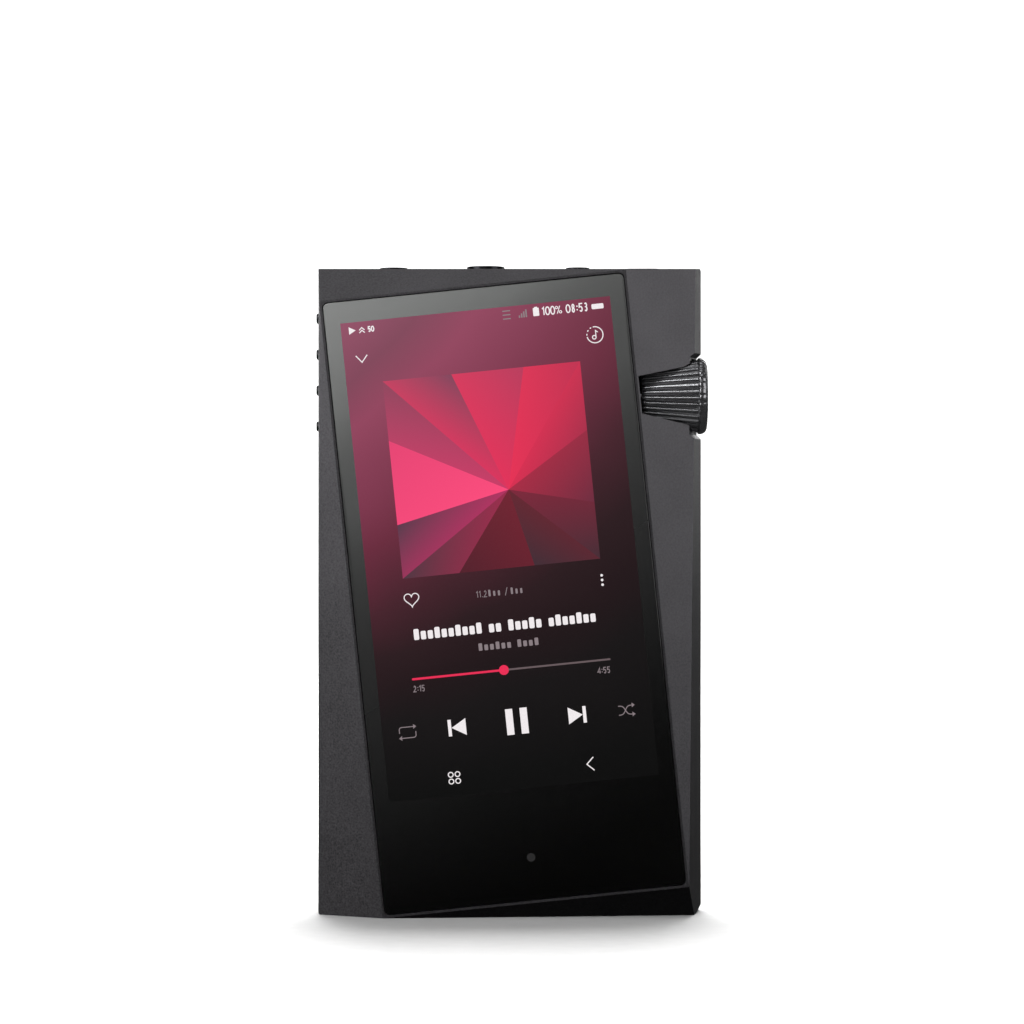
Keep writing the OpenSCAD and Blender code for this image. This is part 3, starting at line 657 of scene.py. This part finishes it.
def circle(centre, radius, points):
    """A closed circle's points, without the last, which is the first again."""
    return arc(centre, radius, 0, 360, points + 1)[:-1]


# Stroked digits in a cell of width 1 and height 1: (path, closed).
DIGITS = {
    "0": [(circle((0.5, 0.5), 0.5, 16), True)],
    "1": [([(0.05, 0.78), (0.45, 1), (0.45, 0)], False)],
    "2": [(np.vstack([arc((0.5, 0.72), 0.28, 170, -40, 9), [(0, 0), (1, 0)]]), False)],
    "3": [(np.vstack([arc((0.45, 0.76), 0.24, 150, -90, 9),
                      arc((0.45, 0.26), 0.26, 90, -150, 9)[1:]]), False)],
    "4": [([(1, 0.28), (0, 0.28), (0.75, 1), (0.75, 0)], False)],
    "5": [(np.vstack([[(0.95, 1), (0.15, 1), (0.08, 0.55)], arc((0.48, 0.31), 0.31, 120, -150, 11)]), False)],
    "8": [(arc((0.5, 0.76), 0.24, -90, 270, 13)[:-1], True),
          (arc((0.5, 0.26), 0.26, -270, 90, 13)[:-1], True)],
}


def white_shapes():
    """The bright marks: play, pause, skip, title bars, heart, clock digits and battery."""
    ink = Drawing()
    u, v = -20.6, 38.4
    ink.shape([(u - 0.5, v + 0.62), (u - 0.5, v - 0.62), (u + 0.62, v)])
    for step in (0.05, 0.5):
        ink.stroke([(-19.4, 37.85 + step), (-18.95, 38.25 + step), (-18.5, 37.85 + step)], 0.16)
    ink.digits("50", (-17.9, 38.0), 0.8, 0.19)
    # Battery, charge and clock in the status line
    ink.bar((10.0, 38.4), 1.0, 1.35, 0.12)
    ink.bar((10.0, 39.13), 0.5, 0.22, 0.05)
    end = ink.digits("100", (11.0, 37.75), 1.28, 0.2)
    for side in (-1, 1):
        ink.stroke(circle((end + 0.45 + 0.3 * side, 38.39 - 0.38 * side), 0.2, 12), 0.13, True)
    ink.stroke([(end + 0.2, 37.75), (end + 0.7, 39.03)], 0.14)
    ink.digits("08:53", (15.0, 37.75), 1.28, 0.2)
    ink.bar((20.2, 38.3), 2.0, 0.85, 0.2)
    # Round button with a note
    ink.stroke(arc((19.3, 33.65), 1.33, -170, 100, 40), 0.17)
    for start in (112, 140, 168):
        ink.stroke(arc((19.3, 33.65), 1.33, start, start + 12, 4), 0.17)
    ink.stroke(circle((19.15, 33.25), 0.3, 16), 0.16, True)
    ink.stroke([(19.45, 33.25), (19.45, 34.35), (19.8, 34.05)], 0.16)
    ink.stroke([(-20.4, 34.2), (-19.45, 33.05), (-18.5, 34.2)], 0.17)
    # Heart: x = 16 sin^3 t and y = 13 cos t - 5 cos 2t - 2 cos 3t - cos 4t, scaled to its width
    t = np.linspace(0, TURN, 56, endpoint=False)
    rise = 13 * np.cos(t) - 5 * np.cos(2 * t) - 2 * np.cos(3 * t) - np.cos(4 * t)
    heart = np.column_stack([16 * np.sin(t) ** 3, rise])
    ink.stroke(heart * 1.22 / 16 + [-15.3, -6.75], 0.16, True)
    for step in (-0.78, 0, 0.78):
        ink.disc((16.35, -6.8 + step), 0.22, 20)
    # The track's name, as rows of plain blocks
    ink.blocks((-15.55, -13.55), (10, 2, 5, 7), 1.155, 1.4, 0.86)
    # Pause, and skip back and forward
    for side in (-1, 1):
        ink.bar((side * 1.2 - 0.03, -28.6), 1.2, 4.3, 0.05)
        ink.bar((side * 11.2, -28.6), 0.55, 2.75, 0.03)
        ink.shape([(side * 8.5, -27.2), (side * 8.5, -30.0), (side * 10.9, -28.6)][::side])
    for column in (-0.56, 0.56):
        for row in (-0.56, 0.56):
            ink.stroke(circle((-11.27 + column, -36.85 + row), 0.4, 20), 0.17, True)
    ink.stroke([(11.9, -35.75), (10.75, -36.85), (11.9, -37.95)], 0.18)
    return ink


def grey_shapes():
    """The dim marks: format line, artist bars, rest of the track, times, repeat and shuffle."""
    ink = Drawing()
    end = ink.digits("11.2", (-4.6, -7.6), 1.0, 0.12)
    end = ink.blocks((end + 0.1, -7.6), (3,), 0.78, 0.85, 0.36)
    ink.stroke([(end - 0.2, -7.7), (end + 0.2, -6.4)], 0.12)
    ink.blocks((end + 0.75, -7.6), (3,), 0.78, 0.85, 0.36)
    ink.blocks((-5.1, -16.4), (6, 4), 0.95, 0.95, 0.62)
    ink.digits("2:15", (-16.5, -22.05), 0.95, 0.14)
    ink.digits("4:55", (14.1, -22.15), 0.95, 0.14)
    # Signal bars and lines in the status line
    for index in range(4):
        ink.bar((7.2 + 0.38 * index, 37.9 + 0.15 * index), 0.24, 0.4 + 0.3 * index, 0.03)
    for row in (37.75, 38.4, 39.05):
        ink.bar((5.1, row), 1.3, 0.18, 0.05)
    # Repeat: two half loops with an arrow head each
    for side in (1, -1):
        loop = np.vstack([[(-1.35, -0.1)], arc((-0.95, 0.5), 0.4, 180, 90, 6), [(1.0, 0.9)]])
        ink.stroke(loop * side + [-18.2, -28.6], 0.15)
        ink.shape(np.array([(1.0, 1.3), (1.0, 0.5), (1.5, 0.9)]) * side + [-18.2, -28.6])
    # Shuffle: two crossing lines with an arrow head each
    for side in (1, -1):
        t = np.linspace(-1, 1, 15)
        line = np.column_stack([1.15 * t, side * 0.75 * np.tanh(3 * t) / np.tanh(3)])
        ink.stroke(line + [18.0, -28.6], 0.15)
        head = np.array([(1.1, 0.4), (1.1, -0.4), (1.6, 0)])
        ink.shape(head + [18.0, -28.6 + side * 0.75])
    return ink


def track_shapes():
    """The played part of the track and its round handle, and the part still to play."""
    start, end, row = -16.6, 16.4, -19.95
    at = start + sizes().played * (end - start)
    done, rest = Drawing(), Drawing()
    done.bar(((start + at) / 2, row), at - start, 0.36)
    done.disc((at, row), 0.82, 36)
    rest.bar(((at + end) / 2 + 0.35, row), end - at - 0.7, 0.3)
    return done, rest


def cover_art(depth):
    """A square picture: a fan of flat facets that open from one point to the square's rim.

    Facet k is the triangle from the point to the marks k and k + 1 of the rim. A share a in from the rim and
    b along it, its colour lies (1 - a) (0.35 + 0.65 b) of the way from the facet's glow to its tone.
    """
    half, middle = 16.4, np.array([0.0, 13.15])
    hub = np.array([2.5, -3.5])
    rim = np.array([(-half, -half), (-half, -7.5), (-half, 6.5), (-half, half), (-5.0, half), (7.0, half),
                    (half, half), (half, 5.0), (half, -7.0), (half, -half), (5.5, -half), (-7.0, -half)])
    tones = ["#54384a", "#e43e70", "#8a3c57", "#7c3f58", "#b63659", "#bf2c4e",
             "#a82c49", "#6c2b3e", "#442c35", "#402c35", "#521e2a", "#4c3440"]
    glow = ["#b03060", "#fb4a7c", "#c83a66", "#dc305c", "#e22e58", "#e62e54",
            "#d82b50", "#a82843", "#7c2439", "#64232f", "#70202f", "#98294a"]
    points, tints, faces = [], [], []
    steps = 6
    a, b = np.meshgrid(np.linspace(0, 1, steps), np.linspace(0, 1, steps), indexing="ij")
    reach, shade = (1 - a)[..., None], ((1 - a) * (0.35 + 0.65 * b))[..., None]
    for index, tone in enumerate(tones):
        first, second = rim[index], rim[(index + 1) % len(rim)]
        edge = first + b[..., None] * (second - first)
        patch = hub + reach * (edge - hub)
        colour = np.array(linear(glow[index])) * (1 - shade) + np.array(linear(tone)) * shade
        faces += (np.array(grid_faces(steps, steps, False)) + index * steps * steps).tolist()
        points.append(patch.reshape(-1, 2))
        tints.append(colour.reshape(-1, 4))
    flat = (np.concatenate(points) + middle) * MM
    piece = put("cover_art", tilted(flat, "display_panel", depth), faces, lit_art(), "display_panel",
                tint=np.concatenate(tints))
    face_front(piece)


def face_front(piece):
    """Turns the faces of a flat piece to the front."""
    work = bmesh.new()
    work.from_mesh(piece.data)
    bmesh.ops.reverse_faces(work, faces=[face for face in work.faces if face.normal.y > 0])
    work.to_mesh(piece.data)
    work.free()


def outwards(piece):
    """Joins the doubled points of a closed piece and turns its faces outwards."""
    work = bmesh.new()
    work.from_mesh(piece.data)
    bmesh.ops.remove_doubles(work, verts=work.verts, dist=1e-8)
    bmesh.ops.recalc_face_normals(work, faces=work.faces)
    work.to_mesh(piece.data)
    work.free()


# Operators


class PlayerOperator:
    """What the player's operators share."""

    bl_options = {"REGISTER", "UNDO"}


class PLAYER_OT_finishes(PlayerOperator, bpy.types.Operator):
    """Gives every CAD node the finish of its material slot"""

    bl_idname = "player.finishes"
    bl_label = "Finishes"

    def execute(self, context):
        for name, node in NODES.items():
            node.data.materials.clear()
            node.data.materials.append(finish_for(name))
        return {"FINISHED"}


class PLAYER_OT_shells(PlayerOperator, bpy.types.Operator):
    """Makes the body shell and the rear cover from their nodes, with every edge broken by a small bevel"""

    bl_idname = "player.shells"
    bl_label = "Shells"

    def execute(self, context):
        for node in ("main_body", "rear_cover"):
            merged_copy(node + "_shell", node, blasted_aluminium(), sizes().edge)
        return {"FINISHED"}


class PLAYER_OT_glasses(PlayerOperator, bpy.types.Operator):
    """Makes the front and rear glass.

    Each is a stack of round-cornered outlines: a straight side, then an edge ground to a quarter circle.
    """

    bl_idname = "player.glasses"
    bl_label = "Glasses"

    def execute(self, context):
        gap, lip, corner = 0.04 * MM, 0.08 * MM, 0.94 * MM
        sink = sizes().glass_sink
        turn = np.linspace(0, TURN / 4, 5)
        for node, outward, material in (("front_glass", -1, smoked_cover_glass()),
                                        ("rear_glass", 1, polished_black_glass())):
            low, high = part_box(node)
            width, height = tilted_frame(node)[2]
            profile = [(gap, high.y - low.y)]
            profile += [(gap + lip * (1 - math.cos(t)), sink + lip * (1 - math.sin(t))) for t in turn]
            rings = pillow(width, height, corner, profile)
            rings[..., 2] *= -outward
            placed = tilted(rings, node, low.y if outward < 0 else high.y)
            piece = put(node + "_pane", placed, skin(rings), material, node, smooth=40)
            outwards(piece)
            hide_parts(node)
        return {"FINISHED"}


class PLAYER_OT_display(PlayerOperator, bpy.types.Operator):
    """Makes the lit display, everything that it shows and the touch mark, as flat shapes under the glass"""

    bl_idname = "player.display"
    bl_label = "Display"

    def execute(self, context):
        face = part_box("front_glass")[0].y + sizes().glass_sink
        under, top = face - 0.006 * MM, face - 0.014 * MM
        width, height = tilted_frame("display_panel")[2] - 2 * 0.8 * MM
        u, v = np.meshgrid(np.linspace(-width / 2, width / 2, 9), np.linspace(-height / 2, height / 2, 17))
        flat = np.stack([u, v], -1).reshape(-1, 2)
        picture = put("display_picture", tilted(flat, "display_panel", under), grid_faces(17, 9, False),
                      lit_screen(), "display_panel")
        face_front(picture)
        cover_art(top)
        done, rest = track_shapes()
        accent = tuple(context.scene.player_colours.accent)
        white_shapes().put("display_white_marks", lit_paint("white", linear("#f4eef0")[:3]), top)
        grey_shapes().put("display_grey_marks", lit_paint("grey", linear("#8b7f83")[:3]), top)
        done.put("display_track_played", lit_paint("accent", accent), top)
        rest.put("display_track_rest", lit_paint("track", linear("#6b5d60")[:3]), top)
        # The touch mark lies over the middle of the touch sensor.
        home = tilted_frame("display_panel")[1]
        low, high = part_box("touch_sensor")
        off = (np.array([(low.x + high.x) / 2, (low.z + high.z) / 2]) - home) / MM
        tilt = tilted_frame("front_glass")[0]
        dot = Drawing()
        dot.disc((off @ [math.cos(tilt), math.sin(tilt)], off @ [-math.sin(tilt), math.cos(tilt)]), 0.7, 40)
        dot.put("touch_mark", moulded("grey_print", "#242424", 0.3, 0.4, 0.5), top)
        return {"FINISHED"}


class PLAYER_OT_wheel(PlayerOperator, bpy.types.Operator):
    """Makes the ribbed volume wheel and its spun cap.

    The radius along the axis is that of the inner face, a ribbed cone, a flange that rises by a sine and a
    bevel that falls by a cosine. From it the ribs take the rib depth times (0.5 + 0.5 cos(ribs angle)) to the
    power 2.2, which leaves broad round ribs between narrow valleys.
    """

    bl_idname = "player.wheel"
    bl_label = "Volume wheel"

    def execute(self, context):
        low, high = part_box("volume_wheel")
        cap_low, cap_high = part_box("wheel_cap")
        axis = np.array(JOINTS["volume_turn"]["pos_m"])
        reach, big, cap_r = high.x - low.x, (high.z - low.z) / 2, (cap_high.z - cap_low.z) / 2
        taper = math.tan(math.radians(8.3))
        bevel, bevel_rise, flange, flange_rise = 1.2 * MM, 1.05 * MM, 0.45 * MM, 0.3 * MM
        ribbed = reach - bevel - flange
        ribbed_r = big - sizes().flange
        small = ribbed_r - ribbed * taper
        share = np.linspace(0, 1, 9)
        cone = np.linspace(0.1 * MM, ribbed - 0.05 * MM, 20)
        rise = np.linspace(0, 1, 5)
        along = np.concatenate([[0, 0], cone, ribbed + rise * flange_rise,
                                reach - bevel + bevel * np.sin(share * TURN / 4), [reach - 0.3 * MM]])
        radius = np.concatenate([[2.0 * MM, small - 0.1 * MM], small + taper * cone,
                                 ribbed_r + (big - ribbed_r) * np.sin(rise * TURN / 4),
                                 big - bevel_rise * (1 - np.cos(share * TURN / 4)), [cap_r + 0.02 * MM]])
        depth = np.concatenate([[0, 1], np.ones(len(cone)), 1 - 0.75 * rise, 0.25 * (1 - share), [0]])
        angle = np.linspace(0, TURN, sizes().ribs * 14, endpoint=False)
        valley = (0.5 + 0.5 * np.cos(angle * sizes().ribs)) ** 2.2
        r = radius[:, None] - sizes().rib_depth * depth[:, None] * valley[None]
        rings = np.stack([np.broadcast_to(low.x + along[:, None], r.shape),
                          axis[1] + r * np.cos(angle), axis[2] + r * np.sin(angle)], -1)
        wheel = put("volume_wheel_ribbed", rings, skin(rings), gloss_black_anodising(), "volume_wheel",
                    smooth=50)
        outwards(wheel)
        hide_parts("volume_wheel")
        # The cap: a round-edged disc, dished by 0.1 mm as a parabola.
        profile = [(cap_r, -0.2 * MM), (cap_r, -0.05 * MM), (cap_r - 0.06 * MM, 0)]
        profile += [(r, -0.1 * MM * (1 - (r / cap_r) ** 2)) for r in np.linspace(cap_r * 0.96, 0.02 * MM, 14)]
        rings = lathe(profile, 96)
        face = cap_high.x - 0.12 * MM
        placed = np.stack([face + rings[..., 2], axis[1] + rings[..., 0], axis[2] + rings[..., 1]], -1)
        cap = put("wheel_cap_disc", placed, skin(rings), spun_aluminium(), "wheel_cap", smooth=40)
        outwards(cap)
        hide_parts("wheel_cap")
        return {"FINISHED"}


class PLAYER_OT_keys(PlayerOperator, bpy.types.Operator):
    """Makes the side keys and the power button.

    Each is a stack of round-ended outlines: a flat end, a crown that falls by a quarter circle, a straight
    side and a flange inside the wall.
    """

    bl_idname = "player.keys"
    bl_label = "Keys"

    def execute(self, context):
        crown, flange, flange_t = sizes().crown, 0.3 * MM, 0.5 * MM
        turn = np.linspace(0, TURN / 4, 7)
        push_of = {joint["child"]: np.array(joint["axis"], float) for joint in frame["joints"]}
        for node in ("side_key_1", "side_key_2", "side_key_3", "side_key_4", "power_button"):
            low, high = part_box(node)
            on_top = node == "power_button"
            depth = float(abs(np.dot(push_of[BODY_OF[node]], high - low)))
            spans = (high.x - low.x, high.y - low.y) if on_top else (high.y - low.y, high.z - low.z)
            width, height = spans[0] - 2 * flange, spans[1] - 2 * flange
            profile = [(height * 0.4, 0.0), (height * 0.25, 0.0)]
            profile += [(crown * (1 - math.sin(t)), crown * (1 - math.cos(t))) for t in turn]
            profile += [(0, depth - flange_t), (-flange, depth - flange_t), (-flange, depth)]
            rings = pillow(width, height, height / 2 * 0.995, profile, 14)
            middle = (np.array(low) + np.array(high)) / 2
            a, b, c = rings[..., 0], rings[..., 1], rings[..., 2]
            if on_top:
                placed = np.stack([middle[0] + a, middle[1] + b, high.z - c], -1)
            else:
                placed = np.stack([low.x + c, middle[1] + a, middle[2] + b], -1)
            piece = put(node + "_cap", placed, skin(rings), finish_for(node), node, smooth=35)
            outwards(piece)
            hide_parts(node)
        return {"FINISHED"}


class PLAYER_OT_sockets(PlayerOperator, bpy.types.Operator):
    """Makes the headphone socket rings.

    One closed outline is turned round each bore: foot, side, a rolled lip that is a quarter circle, a funnel
    and three contact grooves.
    """

    bl_idname = "player.sockets"
    bl_label = "Socket rings"

    def execute(self, context):
        mounts = {mount["name"]: mount for mount in frame["record"]["mounts"]}
        lip, groove = 0.12 * MM, 0.12 * MM
        turn = np.linspace(0, TURN / 4, 5)
        for size in ("3_5", "4_4", "2_5"):
            node = f"socket_{size}_ring"
            low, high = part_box(node)
            outer, top, foot = (high.x - low.x) / 2, high.z, low.z
            bore = mounts["socket_" + size]["dims"]["r_mm"] * MM
            funnel = min(0.35 * MM, (outer - bore) * 0.6)
            neck = top - 1.4 * funnel
            profile = [(bore, foot), (outer, foot), (outer, top - lip)]
            profile += [(outer - lip + lip * math.cos(t), top - lip + lip * math.sin(t)) for t in turn]
            profile += [(bore + funnel, top), (bore + 0.3 * funnel, top - 0.5 * funnel), (bore, neck)]
            for step in range(1, 4):
                level = neck - step * (top - foot) * 0.2
                profile += [(bore, level + 0.3 * MM), (bore + groove, level + 0.2 * MM),
                            (bore + groove, level), (bore, level - 0.1 * MM)]
            rings = lathe(profile, 72)
            rings = np.concatenate([rings, rings[:1]])
            placed = rings + [(low.x + high.x) / 2, (low.y + high.y) / 2, 0]
            piece = put(node + "_turned", placed, skin(rings, False), finish_for(node), node, smooth=40)
            outwards(piece)
            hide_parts(node)
        return {"FINISHED"}


class PLAYER_OT_stage(PlayerOperator, bpy.types.Operator):
    """Makes the pale floor, the soft studio lights, the card that the glass mirrors and the camera"""

    bl_idname = "player.stage"
    bl_label = "Stage"

    def execute(self, context):
        low, high = CAD_BOX
        self.floor()
        # Name, place in metres, size across and up, power in watts, whether matt and shiny things see it.
        lights = (
            ("left_softbox", (-0.5, -0.32, 0.31), (0.4, 0.44), 5.8, False, True),
            ("right_softbox", (0.5, -0.32, 0.26), (0.4, 0.42), 2.3, False, True),
            ("high_strip", (-0.26, -0.66, 0.6), (0.16, 0.5), 5.0, False, True),
            ("top_softbox", (0.0, 0.02, 0.9), (0.5, 0.4), 1.7, True, True),
            ("back_left_softbox", (-0.8, 0.6, 0.45), (0.6, 0.9), 1.6, False, True),
            ("back_right_softbox", (0.8, 0.6, 0.45), (0.6, 0.9), 1.6, False, True),
            ("rear_softbox", (0.0, 0.9, 0.3), (0.7, 0.5), 4.0, False, True),
            ("front_fill", (0.0, -0.5, 0.55), (0.6, 0.4), 3.9, True, False),
            ("floor_softbox", (0.0, 0.42, 1.1), (0.4, 0.62), 44.0, True, False),
        )
        for name, at, size, power, matt, shiny in lights:
            box = self.softbox(name, at, size, power, (low + high) / 2)
            box.visible_camera = False
            box.visible_diffuse = matt
            box.visible_glossy = shiny
        self.card()
        world = bpy.data.worlds.new("studio")
        context.scene.world = world
        world.use_nodes = True
        background = world.node_tree.nodes["Background"]
        background.inputs["Color"].default_value = (1, 1, 1, 1)
        background.inputs["Strength"].default_value = 0.03
        self.camera()
        context.scene.view_settings.view_transform = "Standard"
        return {"FINISHED"}

    def floor(self):
        """A pale sweep: flat in front, then a quarter circle up into a wall behind."""
        radius, front, back, half, wall = 0.5, -3.0, 1.6, 4.0, 4.0
        turn = np.linspace(0, TURN / 4, 24)
        curve = np.column_stack([back + radius * np.sin(turn), radius - radius * np.cos(turn)])
        profile = np.vstack([[(front, 0)], curve, [(back + radius, wall)]])
        points = np.stack([np.column_stack([np.full(len(profile), x), profile]) for x in (-half, half)], 1)
        mesh = bpy.data.meshes.new("floor")
        mesh.from_pydata(points.reshape(-1, 3), [], grid_faces(len(profile), 2, False))
        mesh.polygons.foreach_set("use_smooth", np.ones(len(mesh.polygons), bool))
        made, tree, shader = new_material("pale_paper", Roughness=0.9, Emission_Color=linear("#ffffff"))
        tones = [(0.3, "#a4a4a4"), (0.7, "#a8a8a8")]
        join(tree, shader, "Base Color", ramp(tree, noise(tree, 3 * MM), tones))
        # Far from the player the paper glows, so that it has no horizon.
        away = add(tree, "ShaderNodeVectorMath", {"operation": "LENGTH"}, Vector=place(tree))
        glow = add(tree, "ShaderNodeMapRange", None,
                   Value=away.outputs["Value"], From_Min=0.075, From_Max=0.15, To_Max=1.05)
        join(tree, shader, "Emission Strength", glow.outputs["Result"])
        mesh.materials.append(made)
        floor = show("floor", mesh)
        floor.visible_glossy = False

    def softbox(self, name, at, size, power, target):
        """A soft rectangular light that faces the target; the one over the floor faces straight down."""
        lamp = bpy.data.lights.new(name, "AREA")
        lamp.shape = "RECTANGLE"
        lamp.size, lamp.size_y = size
        lamp.energy = power
        box = show(name, lamp)
        box.location = at
        if name != "floor_softbox":
            box.rotation_euler = (target - box.location).to_track_quat("-Z", "Y").to_euler()
        return box

    def card(self):
        """A card behind the camera that glows as exp(17 z - 9.5 x), brighter towards its upper left."""
        y, brightest, strength = -0.85, 26.0, 0.045
        mesh = bpy.data.meshes.new("glow_card")
        mesh.from_pydata([(-0.3, y, -0.3), (0.3, y, -0.3), (0.3, y, 0.4), (-0.3, y, 0.4)], [], [(0, 1, 2, 3)])
        made = bpy.data.materials.new("glow_card")
        made.use_nodes = True
        tree = made.node_tree
        tree.nodes.clear()
        parts = add(tree, "ShaderNodeSeparateXYZ", None, Vector=place(tree)).outputs
        lean = reckon(tree, "MULTIPLY_ADD", parts["X"], -9.5, reckon(tree, "MULTIPLY", parts["Z"], 17.0))
        held = reckon(tree, "MINIMUM", reckon(tree, "EXPONENT", lean), brightest)
        light = add(tree, "ShaderNodeEmission", None, Strength=reckon(tree, "MULTIPLY", held, strength))
        add(tree, "ShaderNodeOutputMaterial", None, Surface=light.outputs[0])
        mesh.materials.append(made)
        card = show("glow_card", mesh)
        card.visible_camera = False
        card.visible_shadow = False
        card.visible_diffuse = False

    def camera(self):
        """Straight on, a little above half height, 0.6 m in front of the glass."""
        lens = bpy.data.cameras.new("camera")
        lens.lens = 127.6
        lens.sensor_width = 36
        lens.clip_start = 0.01
        camera = show("camera", lens)
        camera.location = (0.3 * MM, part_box("front_glass")[0].y - 0.6, 67.2 * MM)
        camera.rotation_euler = (TURN / 4, 0, 0)
        bpy.context.scene.camera = camera


class PLAYER_PT_panel(bpy.types.Panel):
    """Lists the player's sizes, colours and pieces"""

    bl_label = "Digital Audio Player"
    bl_idname = "PLAYER_PT_panel"
    bl_space_type = "VIEW_3D"
    bl_region_type = "UI"
    bl_category = "Player"

    def draw(self, context):
        for group in (context.scene.player_sizes, context.scene.player_colours):
            for name in group.__annotations__:
                self.layout.prop(group, name)
        for operator in OPERATORS:
            self.layout.operator(operator.bl_idname)


OPERATORS = (
    PLAYER_OT_finishes,
    PLAYER_OT_shells,
    PLAYER_OT_glasses,
    PLAYER_OT_display,
    PLAYER_OT_wheel,
    PLAYER_OT_keys,
    PLAYER_OT_sockets,
    PLAYER_OT_stage,
)
CLASSES = (PlayerSizes, PlayerColours, *OPERATORS, PLAYER_PT_panel)


def register():
    """Adds the player's settings, operators and panel."""
    for made in CLASSES:
        bpy.utils.register_class(made)
    bpy.types.Scene.player_sizes = PointerProperty(type=PlayerSizes)
    bpy.types.Scene.player_colours = PointerProperty(type=PlayerColours)


def unregister():
    """Removes what register added."""
    del bpy.types.Scene.player_colours
    del bpy.types.Scene.player_sizes
    for made in reversed(CLASSES):
        bpy.utils.unregister_class(made)


def main():
    """Builds the player and its stage."""
    register()
    for operator in OPERATORS:
        group, name = operator.bl_idname.split(".")
        getattr(getattr(bpy.ops, group), name)()


if __name__ == "__main__":
    main()
